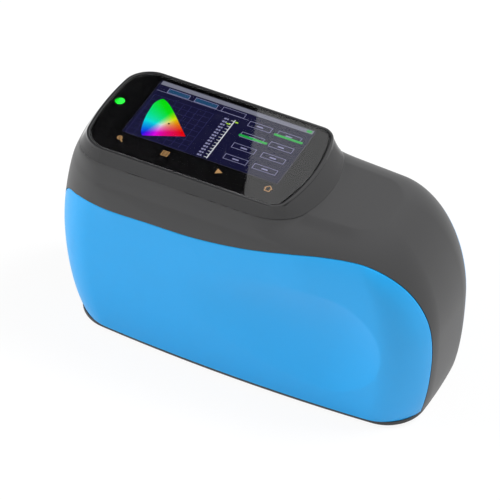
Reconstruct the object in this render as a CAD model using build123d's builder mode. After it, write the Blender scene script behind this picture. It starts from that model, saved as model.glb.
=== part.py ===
# A handheld multi-angle spectrophotometer: a rounded bar that rests on its base over the sample.
# X runs from the display end (-X) to the neck (+X), -Y is the side with the display's icons,
# and Z is up from the surface that the instrument stands on. Millimetres.
from build123d import *
import math
import os

os.makedirs("parts", exist_ok=True)

# Driving dimensions of the body
LENGTH = 193.0
WIDTH = 73.0
HEIGHT = 112.0
WAIST_Z = 50.0            # height where the body is longest and widest
CROWN_Z = 105.0           # top of the neck and seat of the display frame
NECK_REACH = 62.0         # how far the neck's crown runs towards +X
BASE_TUCK_LEFT = 13.0     # how much shorter the display end is at the base
BASE_TUCK_RIGHT = 7.3     # the same at the neck end
DISPLAY_LEAN = 10.8       # how far the display end leans in from waist to crown
SIDE_BOW = 0.11           # bow of the long sides seen from above, as a share of the half width
END_BOW = 2.0             # bow of the two ends seen from above
CORNER = 0.55             # corner radius seen from above, as a share of the half width
SHOULDER_POWER = 5.3      # squareness of the neck seen from its end
TUCK_POWER = 1.9          # roundness of the tuck below the waist
RIM_POWER = 2.0           # roundness of the neck's end above the waist

# Walls and clearances
GRIP_T = 2.4              # side grip skin
HOUSING_T = 2.2           # housing wall under a grip
SPINE_T = 2.6             # housing wall between the grips
GRIP_GAP = 0.15           # between a grip and its pocket
KEY_GAP = 0.30            # round a key in its hole
RUN_GAP = 0.08            # radial, a plunger in its switch
SEAT_GAP = 0.10           # between a part and the pocket that it drops into

# Base
FOOT_PROUD = 0.8
BASE_T = 2.8
BASE_INSET = 0.6          # how far the plate stays inside the housing's edge
BASE_EDGE = 0.8
SHELL_Z = FOOT_PROUD + BASE_T
FOOT_R = 6.0
FOOT_SINK = 0.8
FOOT_AT = (76.0, 17.0)
SCREW_R = 1.5
SCREW_HEAD_R = 2.8
SCREW_HEAD_H = 1.6
SCREW_LENGTH = 12.0
BOSS_R = 4.0
BOSS_H = 16.0

# Display
GLASS_T = 1.1
GLASS_GAP = 0.15
LCD_SIZE = (84.0, 41.0)
LCD_AT = (-26.4, 6.6)
LCD_T = 3.0
BOARD_T = 1.6
ICON_Y = -19.3
ICON_PITCH = 25.5
LIGHT_R = 2.35
LIGHT_AT = (-76.6, 4.3)

# Grips
GRIP_END_Y = 18.0         # half width of the bare band between the grips at each end
SCOOP_X = 47.0            # deepest place of the thumb scoop
SCOOP_Z = 45.0
SCOOP_DEPTH = 3.6
SCOOP_R = 29.0            # half height of the scoop
SCOOP_TAIL = 90.0         # how far its tail is drawn towards the display
SCOOP_FADE = 3.3          # slope, in degrees, at which the tail runs out of the side

# Optics, all angles from the sample's normal
APERTURE_X = 4.0
APERTURE_R = 6.0
ILLUMINATION_DEG = -45.0
DETECTOR_DEG = (60.0, 30.0, 20.0, 0.0, -30.0, -65.0)
ARC_INNER_R = 31.0
ARC_STEP_R = 43.0
ARC_OUTER_R = 55.0
ARC_T = 24.0
BARREL_R = 3.2
BARREL_LENGTH = 15.0
LAMP_R = 4.2
CHANNEL_R = 1.6
LENS_T = 1.6
LENS_EDGE = 0.3

# Keys
MEASURE_SIZE = (20.0, 12.0)
MEASURE_PROUD = 1.2
MEASURE_TRAVEL = 1.0
POWER_R = 4.6
POWER_PROUD = 0.7
POWER_TRAVEL = 0.6
POWER_Z = 74.0
FLANGE_T = 1.0
FLANGE_LIP = 1.6
SWITCH_SIZE = 6.0
SWITCH_T = 3.4
PLUNGER_R = 1.7

# Port
PORT_SIZE = (9.0, 3.3)
PORT_DEPTH = 7.4
PORT_WALL = 0.4
PORT_Z = 30.0

# Power and electronics
CELL_R = 9.2
CELL_LENGTH = 65.0
CELL_X = 38.0
DECK_Z = 70.0
DECK_T = 2.0
DECK_SIZE = (138.0, 44.0)
POST_H = 4.0


def swell(share, power):
    """Height of a superellipse arc of unit size at a share of its half width."""
    return (1 - min(1.0, abs(share)) ** power) ** (1 / power)


def reach(z):
    """How far the body runs towards -X and +X at a height."""
    half = LENGTH / 2
    if z < WAIST_Z:
        round_in = 1 - swell((WAIST_Z - z) / WAIST_Z, TUCK_POWER)
        return half - BASE_TUCK_LEFT * round_in, half - BASE_TUCK_RIGHT * round_in
    rise = (z - WAIST_Z) / (CROWN_Z + 0.5 - WAIST_Z)
    return half - DISPLAY_LEAN * rise**2, NECK_REACH + (half - NECK_REACH) * swell(rise, RIM_POWER)


def half_width(z):
    """Half the body's width at a height."""
    rise = max(0.0, (z - WAIST_Z) / (CROWN_Z + 0.5 - WAIST_Z))
    return WIDTH / 2 * swell(rise, SHOULDER_POWER) - rise


def body_slice(z, true_z, inset):
    """The body's outline, drawn at z with the size that it has at true_z: four bowed sides, rounded corners."""
    left, right = reach(true_z)
    half = half_width(true_z)
    low_x, high_x = -left + inset, right - inset
    bow = SIDE_BOW * half
    deep = half - inset
    with BuildSketch(Plane.XY.offset(z)) as outline:
        with BuildLine():
            for side in (-1, 1):
                corners = [(high_x - END_BOW, side * (deep - bow)), (low_x + END_BOW, side * (deep - bow))]
                ThreePointArc(corners[0], ((low_x + high_x) / 2, side * deep), corners[1])
            for end_x, way in ((low_x, 1), (high_x, -1)):
                ThreePointArc((end_x + way * END_BOW, deep - bow), (end_x, 0), (end_x + way * END_BOW, bow - deep))
        make_face()
        fillet(outline.vertices(), CORNER * half - inset)
    return outline.sketch


def pod_slice(z, left, right, half, bow_left, bow_right, r_left, r_right):
    """The display frame's outline: two bowed ends, two straight sides and rounded corners."""
    with BuildSketch(Plane.XY.offset(z)) as outline:
        with BuildLine():
            Polyline((right - bow_right, half), (left + bow_left, half))
            ThreePointArc((left + bow_left, half), (left, 0), (left + bow_left, -half))
            Polyline((left + bow_left, -half), (right - bow_right, -half))
            ThreePointArc((right - bow_right, -half), (right, 0), (right - bow_right, half))
        make_face()
        fillet(outline.vertices().group_by(Axis.X)[0], r_left)
        fillet(outline.vertices().group_by(Axis.X)[-1], r_right)
    return outline.sketch


# The display's plinth: height, reach to -X and +X, half width, bow of its left end and corner radius there
POD_LEVELS = (
    (62.0, 92.4, 66.0, 33.0, 7.0, 24.0),
    (82.0, 91.6, 56.0, 34.4, 6.5, 21.0),
    (95.0, 89.2, 45.0, 33.8, 5.8, 16.0),
    (CROWN_Z, 86.0, 35.0, 31.7, 5.0, 12.0),
)


# Heights at which the body's outline is drawn, for the faces that show and for those inside
SMOOTH_LEVELS = (14.0, 26.0, 38.0, WAIST_Z, 60.0, 70.0, 80.0, 88.0, 94.0, 98.5, 101.7, 103.8, CROWN_Z)
INNER_LEVELS = (26.0, WAIST_Z, 75.0, 90.0, 98.5, CROWN_Z)


def seam_slice(z):
    """The outline on which the display frame meets the housing."""
    left, right, half, bow, round_r = POD_LEVELS[-1][1:]
    return pod_slice(z, -left, right, half, bow, 11.0, round_r, 11.0)


def lip_slice(z, inset=0.0):
    """The outline of the display frame's flat top."""
    return pod_slice(z, -82.0 + inset, 26.4 - inset, 29.6 - inset, 3.4, 5.0, 11.0 - inset, 5.0 - inset)


def scoop(side, grow=0.0):
    """The solid that hollows a thumb scoop into one side: a ball's cap that runs out towards the display."""
    ball_r = (SCOOP_R**2 + SCOOP_DEPTH**2) / (2 * SCOOP_DEPTH)
    axis_y = side * (WIDTH / 2 - SCOOP_DEPTH + ball_r)
    slope = math.radians(SCOOP_FADE)
    tail = (ball_r + grow) / math.cos(slope) - SCOOP_TAIL * math.tan(slope)
    with BuildPart() as cutter:
        with BuildSketch(Plane.XY.offset(SCOOP_Z)):
            with BuildLine():
                front = CenterArc((SCOOP_X, axis_y), ball_r + grow, -90 * side - SCOOP_FADE * side, (30 + SCOOP_FADE) * side)
                tail_end = (SCOOP_X - SCOOP_TAIL, axis_y - side * tail)
                Polyline(front @ 1, ((front @ 1).X, axis_y), (SCOOP_X - SCOOP_TAIL, axis_y), tail_end, front @ 0)
            make_face()
        revolve(axis=Axis((0, axis_y, SCOOP_Z), (1, 0, 0)))
    return cutter.part


def form(inset, levels, straight=False):
    """The body's whole form, moved inwards by inset, lofted through outlines at the levels."""
    top = CROWN_Z - inset
    squeeze = (top - WAIST_Z) / (CROWN_Z - WAIST_Z)
    with BuildPart() as hull:
        for true_z in levels:
            z = true_z if true_z < WAIST_Z else WAIST_Z + (true_z - WAIST_Z) * squeeze
            add(body_slice(z, true_z, inset))
        loft(ruled=straight)
        with BuildPart(mode=Mode.PRIVATE) as pod:
            for true_z, left, right, half, bow, round_r in POD_LEVELS:
                z = WAIST_Z + (true_z - WAIST_Z) * squeeze
                outline = (-left + inset, right - inset, half - inset, bow, 11.0, round_r - inset, 11.0 - inset)
                add(pod_slice(z, *outline))
            loft(ruled=straight)
        add(pod.part)
    for side in (-1, 1):
        hull.part = hull.part - scoop(side, inset)
    return hull.part


def outer_form():
    """The smooth form that shows."""
    return form(0.0, (SHELL_Z, *SMOOTH_LEVELS))


def inner_form(inset, below=0.0):
    """The form of the faces inside, which run straight from level to level, cut off below the shell's edge."""
    levels = (SHELL_Z, *INNER_LEVELS)
    return form(inset, (SHELL_Z - below, *levels) if below else levels, straight=True)


def grip_zone(side, grow=0.0):
    """The room that one side grip takes up, seen from the side and from the two ends."""
    top_edge = [(-120.0, 80.0), (-68.0, 79.4), (-17.0, 82.5), (31.6, 91.6), (56.0, 96.6), (80.0, 100.5), (120.0, 102.0)]
    end_edges = {
        -1: [(GRIP_END_Y, -10.0), (GRIP_END_Y, 40.0), (20.6, 68.0), (25.5, 77.5), (34.0, 82.5), (46.0, 84.0)],
        1: [(GRIP_END_Y, -10.0), (GRIP_END_Y, 40.0), (20.4, 66.0), (24.6, 85.0), (31.0, 96.8), (46.0, 104.0)],
    }
    with BuildPart() as zone:
        with BuildSketch(Plane.XZ.offset(-side * 60)):
            with BuildLine():
                edge = Spline(*[(x, z + grow) for x, z in top_edge])
                Polyline(edge @ 1, (120.0, SHELL_Z - 5), (-120.0, SHELL_Z - 5), edge @ 0)
            make_face()
        extrude(amount=side * 55)
        with BuildPart(mode=Mode.PRIVATE) as ends:
            for end, points in end_edges.items():
                with BuildSketch(Plane.YZ.offset(end * 45)):
                    with BuildLine():
                        edge = Spline(*[(side * (y - grow), z) for y, z in points[1:]], tangents=[(0, 1), (side, 0.3)])
                        foot = (side * (points[0][0] - grow), points[0][1])
                        Polyline(edge @ 1, (side * 60, 104.0), (side * 60, points[0][1]), foot, edge @ 0)
                    make_face()
                extrude(amount=end * 80)
            Box(90, 140, 260)
        add(ends.part, mode=Mode.INTERSECT)
    return zone.part


def save(part, name):
    """Labels a finished piece and writes it."""
    part.label = name
    export_step(part, f"parts/{name}.step")


def spot(x, y, z=0.0, plane=Plane.XY):
    """A plane moved to a point that is given in its own axes."""
    return Plane(origin=plane.from_local_coords((x, y, z)), x_dir=plane.x_dir, z_dir=plane.z_dir)


def capsule(plane, length, width, start, end, mode=Mode.ADD):
    """A round-ended bar along a plane's normal, from start to end."""
    with BuildSketch(plane.offset(start)) as outline:
        SlotOverall(length, width)
    extrude(outline.sketch, amount=end - start, mode=mode)


def disc(plane, radius, start, end, mode=Mode.ADD):
    """A cylinder along a plane's normal, from start to end."""
    with BuildSketch(plane.offset(start)) as outline:
        Circle(radius)
    extrude(outline.sketch, amount=end - start, mode=mode)


def block(plane, size_x, size_y, start, end, mode=Mode.ADD):
    """A rectangular bar along a plane's normal, from start to end."""
    with BuildSketch(plane.offset(start)) as outline:
        Rectangle(size_x, size_y)
    extrude(outline.sketch, amount=end - start, mode=mode)


# Planes that several pieces share
CAVITY_INSET = GRIP_T + GRIP_GAP + HOUSING_T
LEDGE_Z = HEIGHT - GLASS_GAP - GLASS_T
BOARD_TOP_Z = LEDGE_Z - LCD_T
SAMPLE = Vector(APERTURE_X, 0, 0)


def ray(degrees):
    """A plane at the sample whose normal points along one optical axis."""
    a = math.radians(degrees)
    return Plane(origin=SAMPLE, x_dir=(0, 1, 0), z_dir=(math.sin(a), 0, math.cos(a)))


# The measure key is pressed towards -Y in the rear scoop, and 0 on this plane is the scoop's floor
MEASURE_PLANE = Plane(origin=(SCOOP_X, WIDTH / 2 - SCOOP_DEPTH, SCOOP_Z), x_dir=(1, 0, 0), z_dir=(0, 1, 0))
# The power key is pressed square to the leaning wall of the display end
POWER_LEAN = math.atan(2 * DISPLAY_LEAN * (POWER_Z - WAIST_Z) / (CROWN_Z + 0.5 - WAIST_Z) ** 2)
POWER_NORMAL = (-math.cos(POWER_LEAN), 0, math.sin(POWER_LEAN))
POWER_PLANE = Plane(origin=(-reach(POWER_Z)[0], 0, POWER_Z), x_dir=(0, 1, 0), z_dir=POWER_NORMAL)
MEASURE_WALL = CAVITY_INSET
POWER_WALL = SPINE_T + 0.6
SWITCH_BACK = FLANGE_T + 2.4 + SWITCH_T
SCREW_SPOTS = [(x, side * 27.4) for x in (-60.0, APERTURE_X, 62.0) for side in (-1, 1)]
LEG_SPOTS = [(x, side * 19.5) for x in (-52.0, 64.0) for side in (-1, 1)]
FRAME_SPOTS = [(x, side * 20.0) for x in (-74.5, 20.5) for side in (-1, 1)]


# Side grips: soft skins that lie in pockets of the housing, the rear one with the measure key's hole
outside = outer_form()
grip_inner = inner_form(GRIP_T, below=1.0)
front_zone = grip_zone(-1)
rear_zone = grip_zone(1)

with BuildPart() as side_grip_front:
    add(outside & front_zone)
    add(grip_inner, mode=Mode.SUBTRACT)
save(side_grip_front.part, "side_grip_front")

with BuildPart() as side_grip_rear:
    add(outside & rear_zone)
    add(grip_inner, mode=Mode.SUBTRACT)
    capsule(MEASURE_PLANE, MEASURE_SIZE[0] + 2 * KEY_GAP, MEASURE_SIZE[1] + 2 * KEY_GAP, -8, 8, Mode.SUBTRACT)
save(side_grip_rear.part, "side_grip_rear")

# Housing: one moulding with pockets for the grips, open at the base and under the display
middle = Box(2 * LENGTH, 2 * (GRIP_END_Y - 3), 2 * HEIGHT, mode=Mode.PRIVATE)
side_void = inner_form(CAVITY_INSET, below=1.0) - middle
middle_void = inner_form(SPINE_T, below=1.0) & middle
pocket_floor = inner_form(GRIP_T + GRIP_GAP)

with BuildPart() as housing:
    add(outside)
    add(grip_zone(-1, GRIP_GAP), mode=Mode.SUBTRACT)
    add(grip_zone(1, GRIP_GAP), mode=Mode.SUBTRACT)
    add(pocket_floor)
    add(side_void, mode=Mode.SUBTRACT)
    add(middle_void, mode=Mode.SUBTRACT)
    # bosses for the base screws, each with a web to the wall
    with BuildPart(mode=Mode.PRIVATE) as bosses:
        for x, y in SCREW_SPOTS:
            disc(spot(x, y, SHELL_Z), BOSS_R, 0, BOSS_H)
            block(spot(x, y + math.copysign(5.0, y), SHELL_Z), 2.4, 6.0, 0, BOSS_H)
        add(pocket_floor, mode=Mode.INTERSECT)
    add(bosses.part)
    # pillars that carry the boards behind the two keys
    for across in (-11.0, 11.0):
        disc(spot(0, across, 0, MEASURE_PLANE), 2.5, -MEASURE_WALL - SWITCH_BACK, -MEASURE_WALL + 1.0)
        disc(spot(across, 0, 0, POWER_PLANE), 2.2, -POWER_WALL - SWITCH_BACK, -POWER_WALL + 1.2)
    # shelf under the port's board
    block(spot(-87.0, 0, PORT_Z), 12.0, 18.0, -PORT_SIZE[1] / 2 - 4.8, -PORT_SIZE[1] / 2 - 1.6)
    # window under the display, screw holes of the frame, key holes and port slot
    block(spot(LCD_AT[0], LCD_AT[1], CROWN_Z), 60.0, 26.0, -8, 4, Mode.SUBTRACT)
    for x, y in FRAME_SPOTS:
        disc(spot(x, y, 0), SCREW_R + 0.1, CROWN_Z - 8, CROWN_Z + 1, Mode.SUBTRACT)
    for x, y in SCREW_SPOTS:
        disc(spot(x, y, SHELL_Z), SCREW_R, -1, BOSS_H - 3, Mode.SUBTRACT)
    capsule(MEASURE_PLANE, MEASURE_SIZE[0] + 2 * KEY_GAP, MEASURE_SIZE[1] + 2 * KEY_GAP, -MEASURE_WALL - 1.5, 6, Mode.SUBTRACT)
    disc(POWER_PLANE, POWER_R + KEY_GAP, -POWER_WALL - 1.5, 4, Mode.SUBTRACT)
    with BuildSketch(Plane.YZ.offset(-LENGTH / 2 - 1)):
        with Locations((0, PORT_Z)):
            RectangleRounded(PORT_SIZE[0] + 0.5, PORT_SIZE[1] + 0.5, PORT_SIZE[1] / 2)
    extrude(amount=8, mode=Mode.SUBTRACT)
save(housing.part, "housing")

# Base plate: closes the housing from below, with counterbored screws, foot pockets and the aperture
with BuildPart() as base_plate:
    extrude(body_slice(FOOT_PROUD, SHELL_Z, BASE_INSET), amount=BASE_T)
    chamfer(base_plate.faces().sort_by(Axis.Z)[0].edges(), BASE_EDGE)
    bottom = Plane(origin=(0, 0, FOOT_PROUD), x_dir=(1, 0, 0), z_dir=(0, 0, -1))
    for x, y in SCREW_SPOTS + LEG_SPOTS:
        with Locations(spot(x, -y, 0, bottom)):
            CounterBoreHole(SCREW_R + 0.1, SCREW_HEAD_R + 0.3, BASE_T - 1.0, BASE_T)
    for x in (-FOOT_AT[0], FOOT_AT[0]):
        for y in (-FOOT_AT[1], FOOT_AT[1]):
            disc(spot(x, y, FOOT_PROUD), FOOT_R + SEAT_GAP, 0, FOOT_SINK, Mode.SUBTRACT)
    disc(spot(APERTURE_X, 0, 0), 14.7, 0, HEIGHT, Mode.SUBTRACT)
save(base_plate.part, "base_plate")

# Feet: rubber pads in the base's pockets
with BuildPart() as feet:
    for x in (-FOOT_AT[0], FOOT_AT[0]):
        for y in (-FOOT_AT[1], FOOT_AT[1]):
            disc(spot(x, y, 0), FOOT_R, 0, FOOT_PROUD + FOOT_SINK)
    chamfer(feet.faces().group_by(Axis.Z)[0].edges(), 0.4)
save(feet.part, "rubber_feet")


def screws(spots, head_z, length):
    """A group of pan-head screws that point up, with their heads against head_z from below."""
    with BuildPart() as group:
        for x, y in spots:
            seat = Plane(origin=(x, y, head_z), x_dir=(1, 0, 0), z_dir=(0, 0, 1))
            disc(seat, SCREW_HEAD_R, -SCREW_HEAD_H, 0)
            disc(seat, SCREW_R - 0.05, 0, length)
            with BuildSketch(seat.offset(-SCREW_HEAD_H)) as socket:
                RegularPolygon(1.2, 6)
            extrude(socket.sketch, amount=0.9, mode=Mode.SUBTRACT)
    return group.part


save(screws(SCREW_SPOTS + LEG_SPOTS, SHELL_Z - 1.0, SCREW_LENGTH - 2), "base_screws")

# Aperture ring: a shallow dish whose cone clears the flattest light path, resting on the base plate
RING_R = 14.6
RING_LIP_R = 17.5
RING_LIP_T = 1.0
WINDOW_R = 15.6
WINDOW_T = 1.4
CONE_R = APERTURE_R + (SHELL_Z - 0.7) * math.tan(math.radians(66))
with BuildPart() as aperture_ring:
    with BuildSketch(Plane.XZ):
        with BuildLine():
            Polyline(
                (APERTURE_R, 0.2),
                (RING_R, 0.2),
                (RING_R, SHELL_Z),
                (RING_LIP_R, SHELL_Z),
                (RING_LIP_R, SHELL_Z + RING_LIP_T + 1.0),
                (WINDOW_R + SEAT_GAP, SHELL_Z + RING_LIP_T + 1.0),
                (WINDOW_R + SEAT_GAP, SHELL_Z + RING_LIP_T),
                (CONE_R, SHELL_Z + RING_LIP_T),
                (CONE_R, SHELL_Z - 0.3),
                (APERTURE_R, 0.7),
                close=True,
            )
        make_face()
    revolve(axis=Axis.Z)
aperture_ring.part = Pos(APERTURE_X, 0, 0) * aperture_ring.part
save(aperture_ring.part, "aperture_ring")

with BuildPart() as window:
    disc(spot(APERTURE_X, 0, SHELL_Z + RING_LIP_T), WINDOW_R, 0, WINDOW_T)
save(window.part, "dust_window")


def display_board_shape(grow, start, end, mode=Mode.ADD):
    """The display's board with a tongue that reaches the status light."""
    block(spot(*LCD_AT), LCD_SIZE[0] + 2 * grow, LCD_SIZE[1] + 2 * grow, start, end, mode)
    block(spot(LIGHT_AT[0] + 6, LIGHT_AT[1]), 18 + 2 * grow, 8 + 2 * grow, start, end, mode)


# Display frame: a glossy tray that carries the glass, the screen, the touch strip and their board
with BuildPart() as display_frame:
    add(seam_slice(CROWN_Z))
    add(lip_slice(HEIGHT))
    loft()
    fillet(display_frame.faces().sort_by(Axis.Z)[-1].edges(), 0.9)
    extrude(lip_slice(LEDGE_Z, 1.3), amount=HEIGHT, mode=Mode.SUBTRACT)
    block(spot(*LCD_AT), LCD_SIZE[0] + 0.4, LCD_SIZE[1] + 0.4, CROWN_Z + 2, HEIGHT, Mode.SUBTRACT)
    display_board_shape(0.2, 0, BOARD_TOP_Z + 0.1, Mode.SUBTRACT)
    block(spot(LCD_AT[0], ICON_Y, 0), 4 * ICON_PITCH - 12, 7.0, LEDGE_Z - 1.3, HEIGHT, Mode.SUBTRACT)
    disc(spot(*LIGHT_AT), LIGHT_R + SEAT_GAP, CROWN_Z - 1, HEIGHT, Mode.SUBTRACT)
    for x, y in FRAME_SPOTS:
        disc(spot(x, y, 0), SCREW_R - 0.0, CROWN_Z - 1, CROWN_Z + 3.2, Mode.SUBTRACT)
save(display_frame.part, "display_frame")

with BuildPart() as display_glass:
    extrude(lip_slice(LEDGE_Z, 1.3 + GLASS_GAP), amount=GLASS_T)
    chamfer(display_glass.faces().sort_by(Axis.Z)[-1].edges(), 0.2)
save(display_glass.part, "display_glass")

with BuildPart() as screen:
    block(spot(*LCD_AT), *LCD_SIZE, BOARD_TOP_Z, LEDGE_Z)
save(screen.part, "lcd_screen")

with BuildPart() as display_board:
    display_board_shape(0.0, BOARD_TOP_Z - BOARD_T, BOARD_TOP_Z)
    block(spot(LCD_AT[0] + 10, LCD_AT[1], 0), 14, 6, BOARD_TOP_Z - BOARD_T - 1.4, BOARD_TOP_Z)
save(display_board.part, "display_board")

with BuildPart() as touch_strip:
    block(spot(LCD_AT[0], ICON_Y, 0), 4 * ICON_PITCH - 12.6, 6.4, LEDGE_Z - 1.2, LEDGE_Z)
save(touch_strip.part, "touch_key_strip")

with BuildPart() as light_pipe:
    disc(spot(*LIGHT_AT), LIGHT_R, BOARD_TOP_Z, LEDGE_Z)
save(light_pipe.part, "status_light_pipe")

save(screws(FRAME_SPOTS, CROWN_Z - CAVITY_INSET, CAVITY_INSET + 2.8), "display_screws")


# Optics: an arch over the sample with one bore for the lamp and one for each viewing angle
with BuildPart() as optics_arch:
    with BuildSketch(Plane.XZ.offset(-ARC_T / 2)):
        with Locations((APERTURE_X, 0)):
            Circle(ARC_OUTER_R)
            Circle(ARC_INNER_R, mode=Mode.SUBTRACT)
        for way in (-1, 1):
            with Locations((APERTURE_X + way * (ARC_OUTER_R + 3), SHELL_Z + 2)):
                Rectangle(10, 4)
        with Locations((APERTURE_X, SHELL_Z - HEIGHT / 2)):
            Rectangle(2 * LENGTH, HEIGHT, mode=Mode.SUBTRACT)
    extrude(amount=ARC_T)
    for angle in DETECTOR_DEG:
        disc(ray(angle), CHANNEL_R, ARC_INNER_R - 3, ARC_STEP_R + 1, Mode.SUBTRACT)
        disc(ray(angle), BARREL_R + 0.05, ARC_STEP_R, ARC_OUTER_R + 8, Mode.SUBTRACT)
    disc(ray(ILLUMINATION_DEG), CHANNEL_R + 0.8, ARC_INNER_R - 3, ARC_STEP_R + 1, Mode.SUBTRACT)
    disc(ray(ILLUMINATION_DEG), LAMP_R + 0.05, ARC_STEP_R, ARC_OUTER_R + 8, Mode.SUBTRACT)
save(optics_arch.part, "optics_arch")


def barrel(axis_plane, radius):
    """A tube with a step for its lens near the front."""
    disc(axis_plane, radius, ARC_STEP_R, ARC_STEP_R + BARREL_LENGTH)
    disc(axis_plane, radius - 1.4, ARC_STEP_R - 1, ARC_STEP_R + BARREL_LENGTH + 1, Mode.SUBTRACT)
    disc(axis_plane, radius - 0.7, ARC_STEP_R + 4, ARC_STEP_R + BARREL_LENGTH + 1, Mode.SUBTRACT)


with BuildPart() as barrels:
    for angle in DETECTOR_DEG:
        barrel(ray(angle), BARREL_R)
save(barrels.part, "detector_barrels")

with BuildPart() as lenses:
    for angle in DETECTOR_DEG:
        disc(ray(angle), BARREL_R - 0.75, ARC_STEP_R + 4, ARC_STEP_R + 4 + LENS_T)
    chamfer(lenses.edges().filter_by(GeomType.CIRCLE), LENS_EDGE)
save(lenses.part, "detector_lenses")

with BuildPart() as sensors:
    for angle in DETECTOR_DEG:
        disc(ray(angle), BARREL_R + 1.2, ARC_STEP_R + BARREL_LENGTH, ARC_STEP_R + BARREL_LENGTH + 1.4)
save(sensors.part, "detector_sensors")

with BuildPart() as lamp_barrel:
    barrel(ray(ILLUMINATION_DEG), LAMP_R)
save(lamp_barrel.part, "lamp_barrel")

with BuildPart() as lamp_lens:
    disc(ray(ILLUMINATION_DEG), LAMP_R - 0.75, ARC_STEP_R + 4, ARC_STEP_R + 4 + LENS_T)
    chamfer(lamp_lens.edges().filter_by(GeomType.CIRCLE), LENS_EDGE)
save(lamp_lens.part, "lamp_lens")

with BuildPart() as lamp:
    disc(ray(ILLUMINATION_DEG), LAMP_R + 2.4, ARC_STEP_R + BARREL_LENGTH, ARC_STEP_R + BARREL_LENGTH + 1.6)
    disc(ray(ILLUMINATION_DEG), 1.8, ARC_STEP_R + BARREL_LENGTH - 2, ARC_STEP_R + BARREL_LENGTH)
save(lamp.part, "lamp_led_board")

# Inner frame: a deck on four legs that carries the main board and the battery over the optics
DECK_X = 6.0
with BuildPart() as inner_frame:
    block(spot(DECK_X, 0, 0), *DECK_SIZE, DECK_Z, DECK_Z + DECK_T)
    fillet(inner_frame.edges().filter_by(Axis.Z), 4)
    block(spot(DECK_X - 36, 0, 0), 44, 26, DECK_Z - 1, DECK_Z + DECK_T + 1, Mode.SUBTRACT)
    for x, y in LEG_SPOTS:
        block(spot(x, y, 0), 7, 5, SHELL_Z, DECK_Z + 0.5)
    for x in (-58.0, -6.0):
        for y in (-17.0, 17.0):
            disc(spot(x, y, 0), 2.6, DECK_Z, DECK_Z + DECK_T + POST_H)
    for x, y in LEG_SPOTS:
        disc(spot(x, y, 0), SCREW_R, 0, SHELL_Z + SCREW_LENGTH, Mode.SUBTRACT)
save(inner_frame.part, "inner_frame")

MAIN_Z = DECK_Z + DECK_T + POST_H
with BuildPart() as main_board:
    block(spot(-32.0, 0, 0), 62, 40, MAIN_Z, MAIN_Z + BOARD_T)
    block(spot(-44.0, 4, 0), 16, 16, MAIN_Z, MAIN_Z + BOARD_T + 1.6)
    block(spot(LCD_AT[0] + 10, LCD_AT[1], 0), 14, 6, MAIN_Z, MAIN_Z + BOARD_T + 2.4)
    block(spot(-22.0, -12, 0), 10, 8, MAIN_Z, MAIN_Z + BOARD_T + 1.2)
save(main_board.part, "main_board")

with BuildPart() as buzzer:
    disc(spot(-53.0, -12.0, MAIN_Z + BOARD_T), 4.5, 0, 3.0)
    disc(spot(-53.0, -12.0, MAIN_Z + BOARD_T), 0.8, 1.5, 4, Mode.SUBTRACT)
save(buzzer.part, "buzzer")

# Flat cable from the display's board down to the main board
with BuildPart() as cable:
    low = MAIN_Z + BOARD_T + 2.4
    high = BOARD_TOP_Z - BOARD_T - 1.4
    with BuildSketch(Plane.XZ.offset(-LCD_AT[1] - 5)):
        with BuildLine():
            run = FilletPolyline(
                (LCD_AT[0] + 10, low + 0.2),
                (LCD_AT[0] + 10, low + 7),
                (LCD_AT[0] + 16, low + 12),
                (LCD_AT[0] + 10, high - 6),
                (LCD_AT[0] + 10, high - 0.2),
                radius=4,
            )
            offset(run, amount=0.2)
        make_face()
    extrude(amount=10)
save(cable.part, "display_cable")

# Battery: two cells in a cradle on the deck
CELL_Z = DECK_Z + DECK_T + 1.6 + CELL_R
with BuildPart() as cradle:
    block(spot(CELL_X, 0, 0), CELL_LENGTH + 5, 4 * CELL_R + 3, DECK_Z + DECK_T, CELL_Z - 2)
    for side in (-1, 1):
        with BuildSketch(Plane.YZ.offset(CELL_X - CELL_LENGTH / 2 - SEAT_GAP)):
            with Locations((side * (CELL_R + 0.3), CELL_Z)):
                Circle(CELL_R + SEAT_GAP)
        extrude(amount=CELL_LENGTH + 2 * SEAT_GAP, mode=Mode.SUBTRACT)
save(cradle.part, "battery_cradle")

with BuildPart() as cells:
    for side in (-1, 1):
        with BuildSketch(Plane.YZ.offset(CELL_X - CELL_LENGTH / 2)):
            with Locations((side * (CELL_R + 0.3), CELL_Z)):
                Circle(CELL_R)
        extrude(amount=CELL_LENGTH)
    chamfer(cells.edges().filter_by(GeomType.CIRCLE), 0.8)
save(cells.part, "battery_cells")


# Keys: each has a retaining flange behind the wall, a plunger, and a switch on its own board
def key_switch(plane, wall, name):
    """The switch body, which is a ring round the plunger, and the board behind it."""
    back = -wall - SWITCH_BACK
    with BuildPart() as switch:
        block(plane, SWITCH_SIZE, SWITCH_SIZE, back, back + SWITCH_T)
        disc(plane, PLUNGER_R + RUN_GAP, back - 1, back + SWITCH_T + 1, Mode.SUBTRACT)
    save(switch.part, name + "_switch")


def key_plunger(plane, wall, travel, name):
    """The plunger under the key's stem."""
    back = -wall - SWITCH_BACK
    with BuildPart() as plunger:
        disc(plane, PLUNGER_R, back + travel + 0.25, -wall - 0.3 - FLANGE_T - 0.6)
    save(plunger.part, name + "_plunger")


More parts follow.
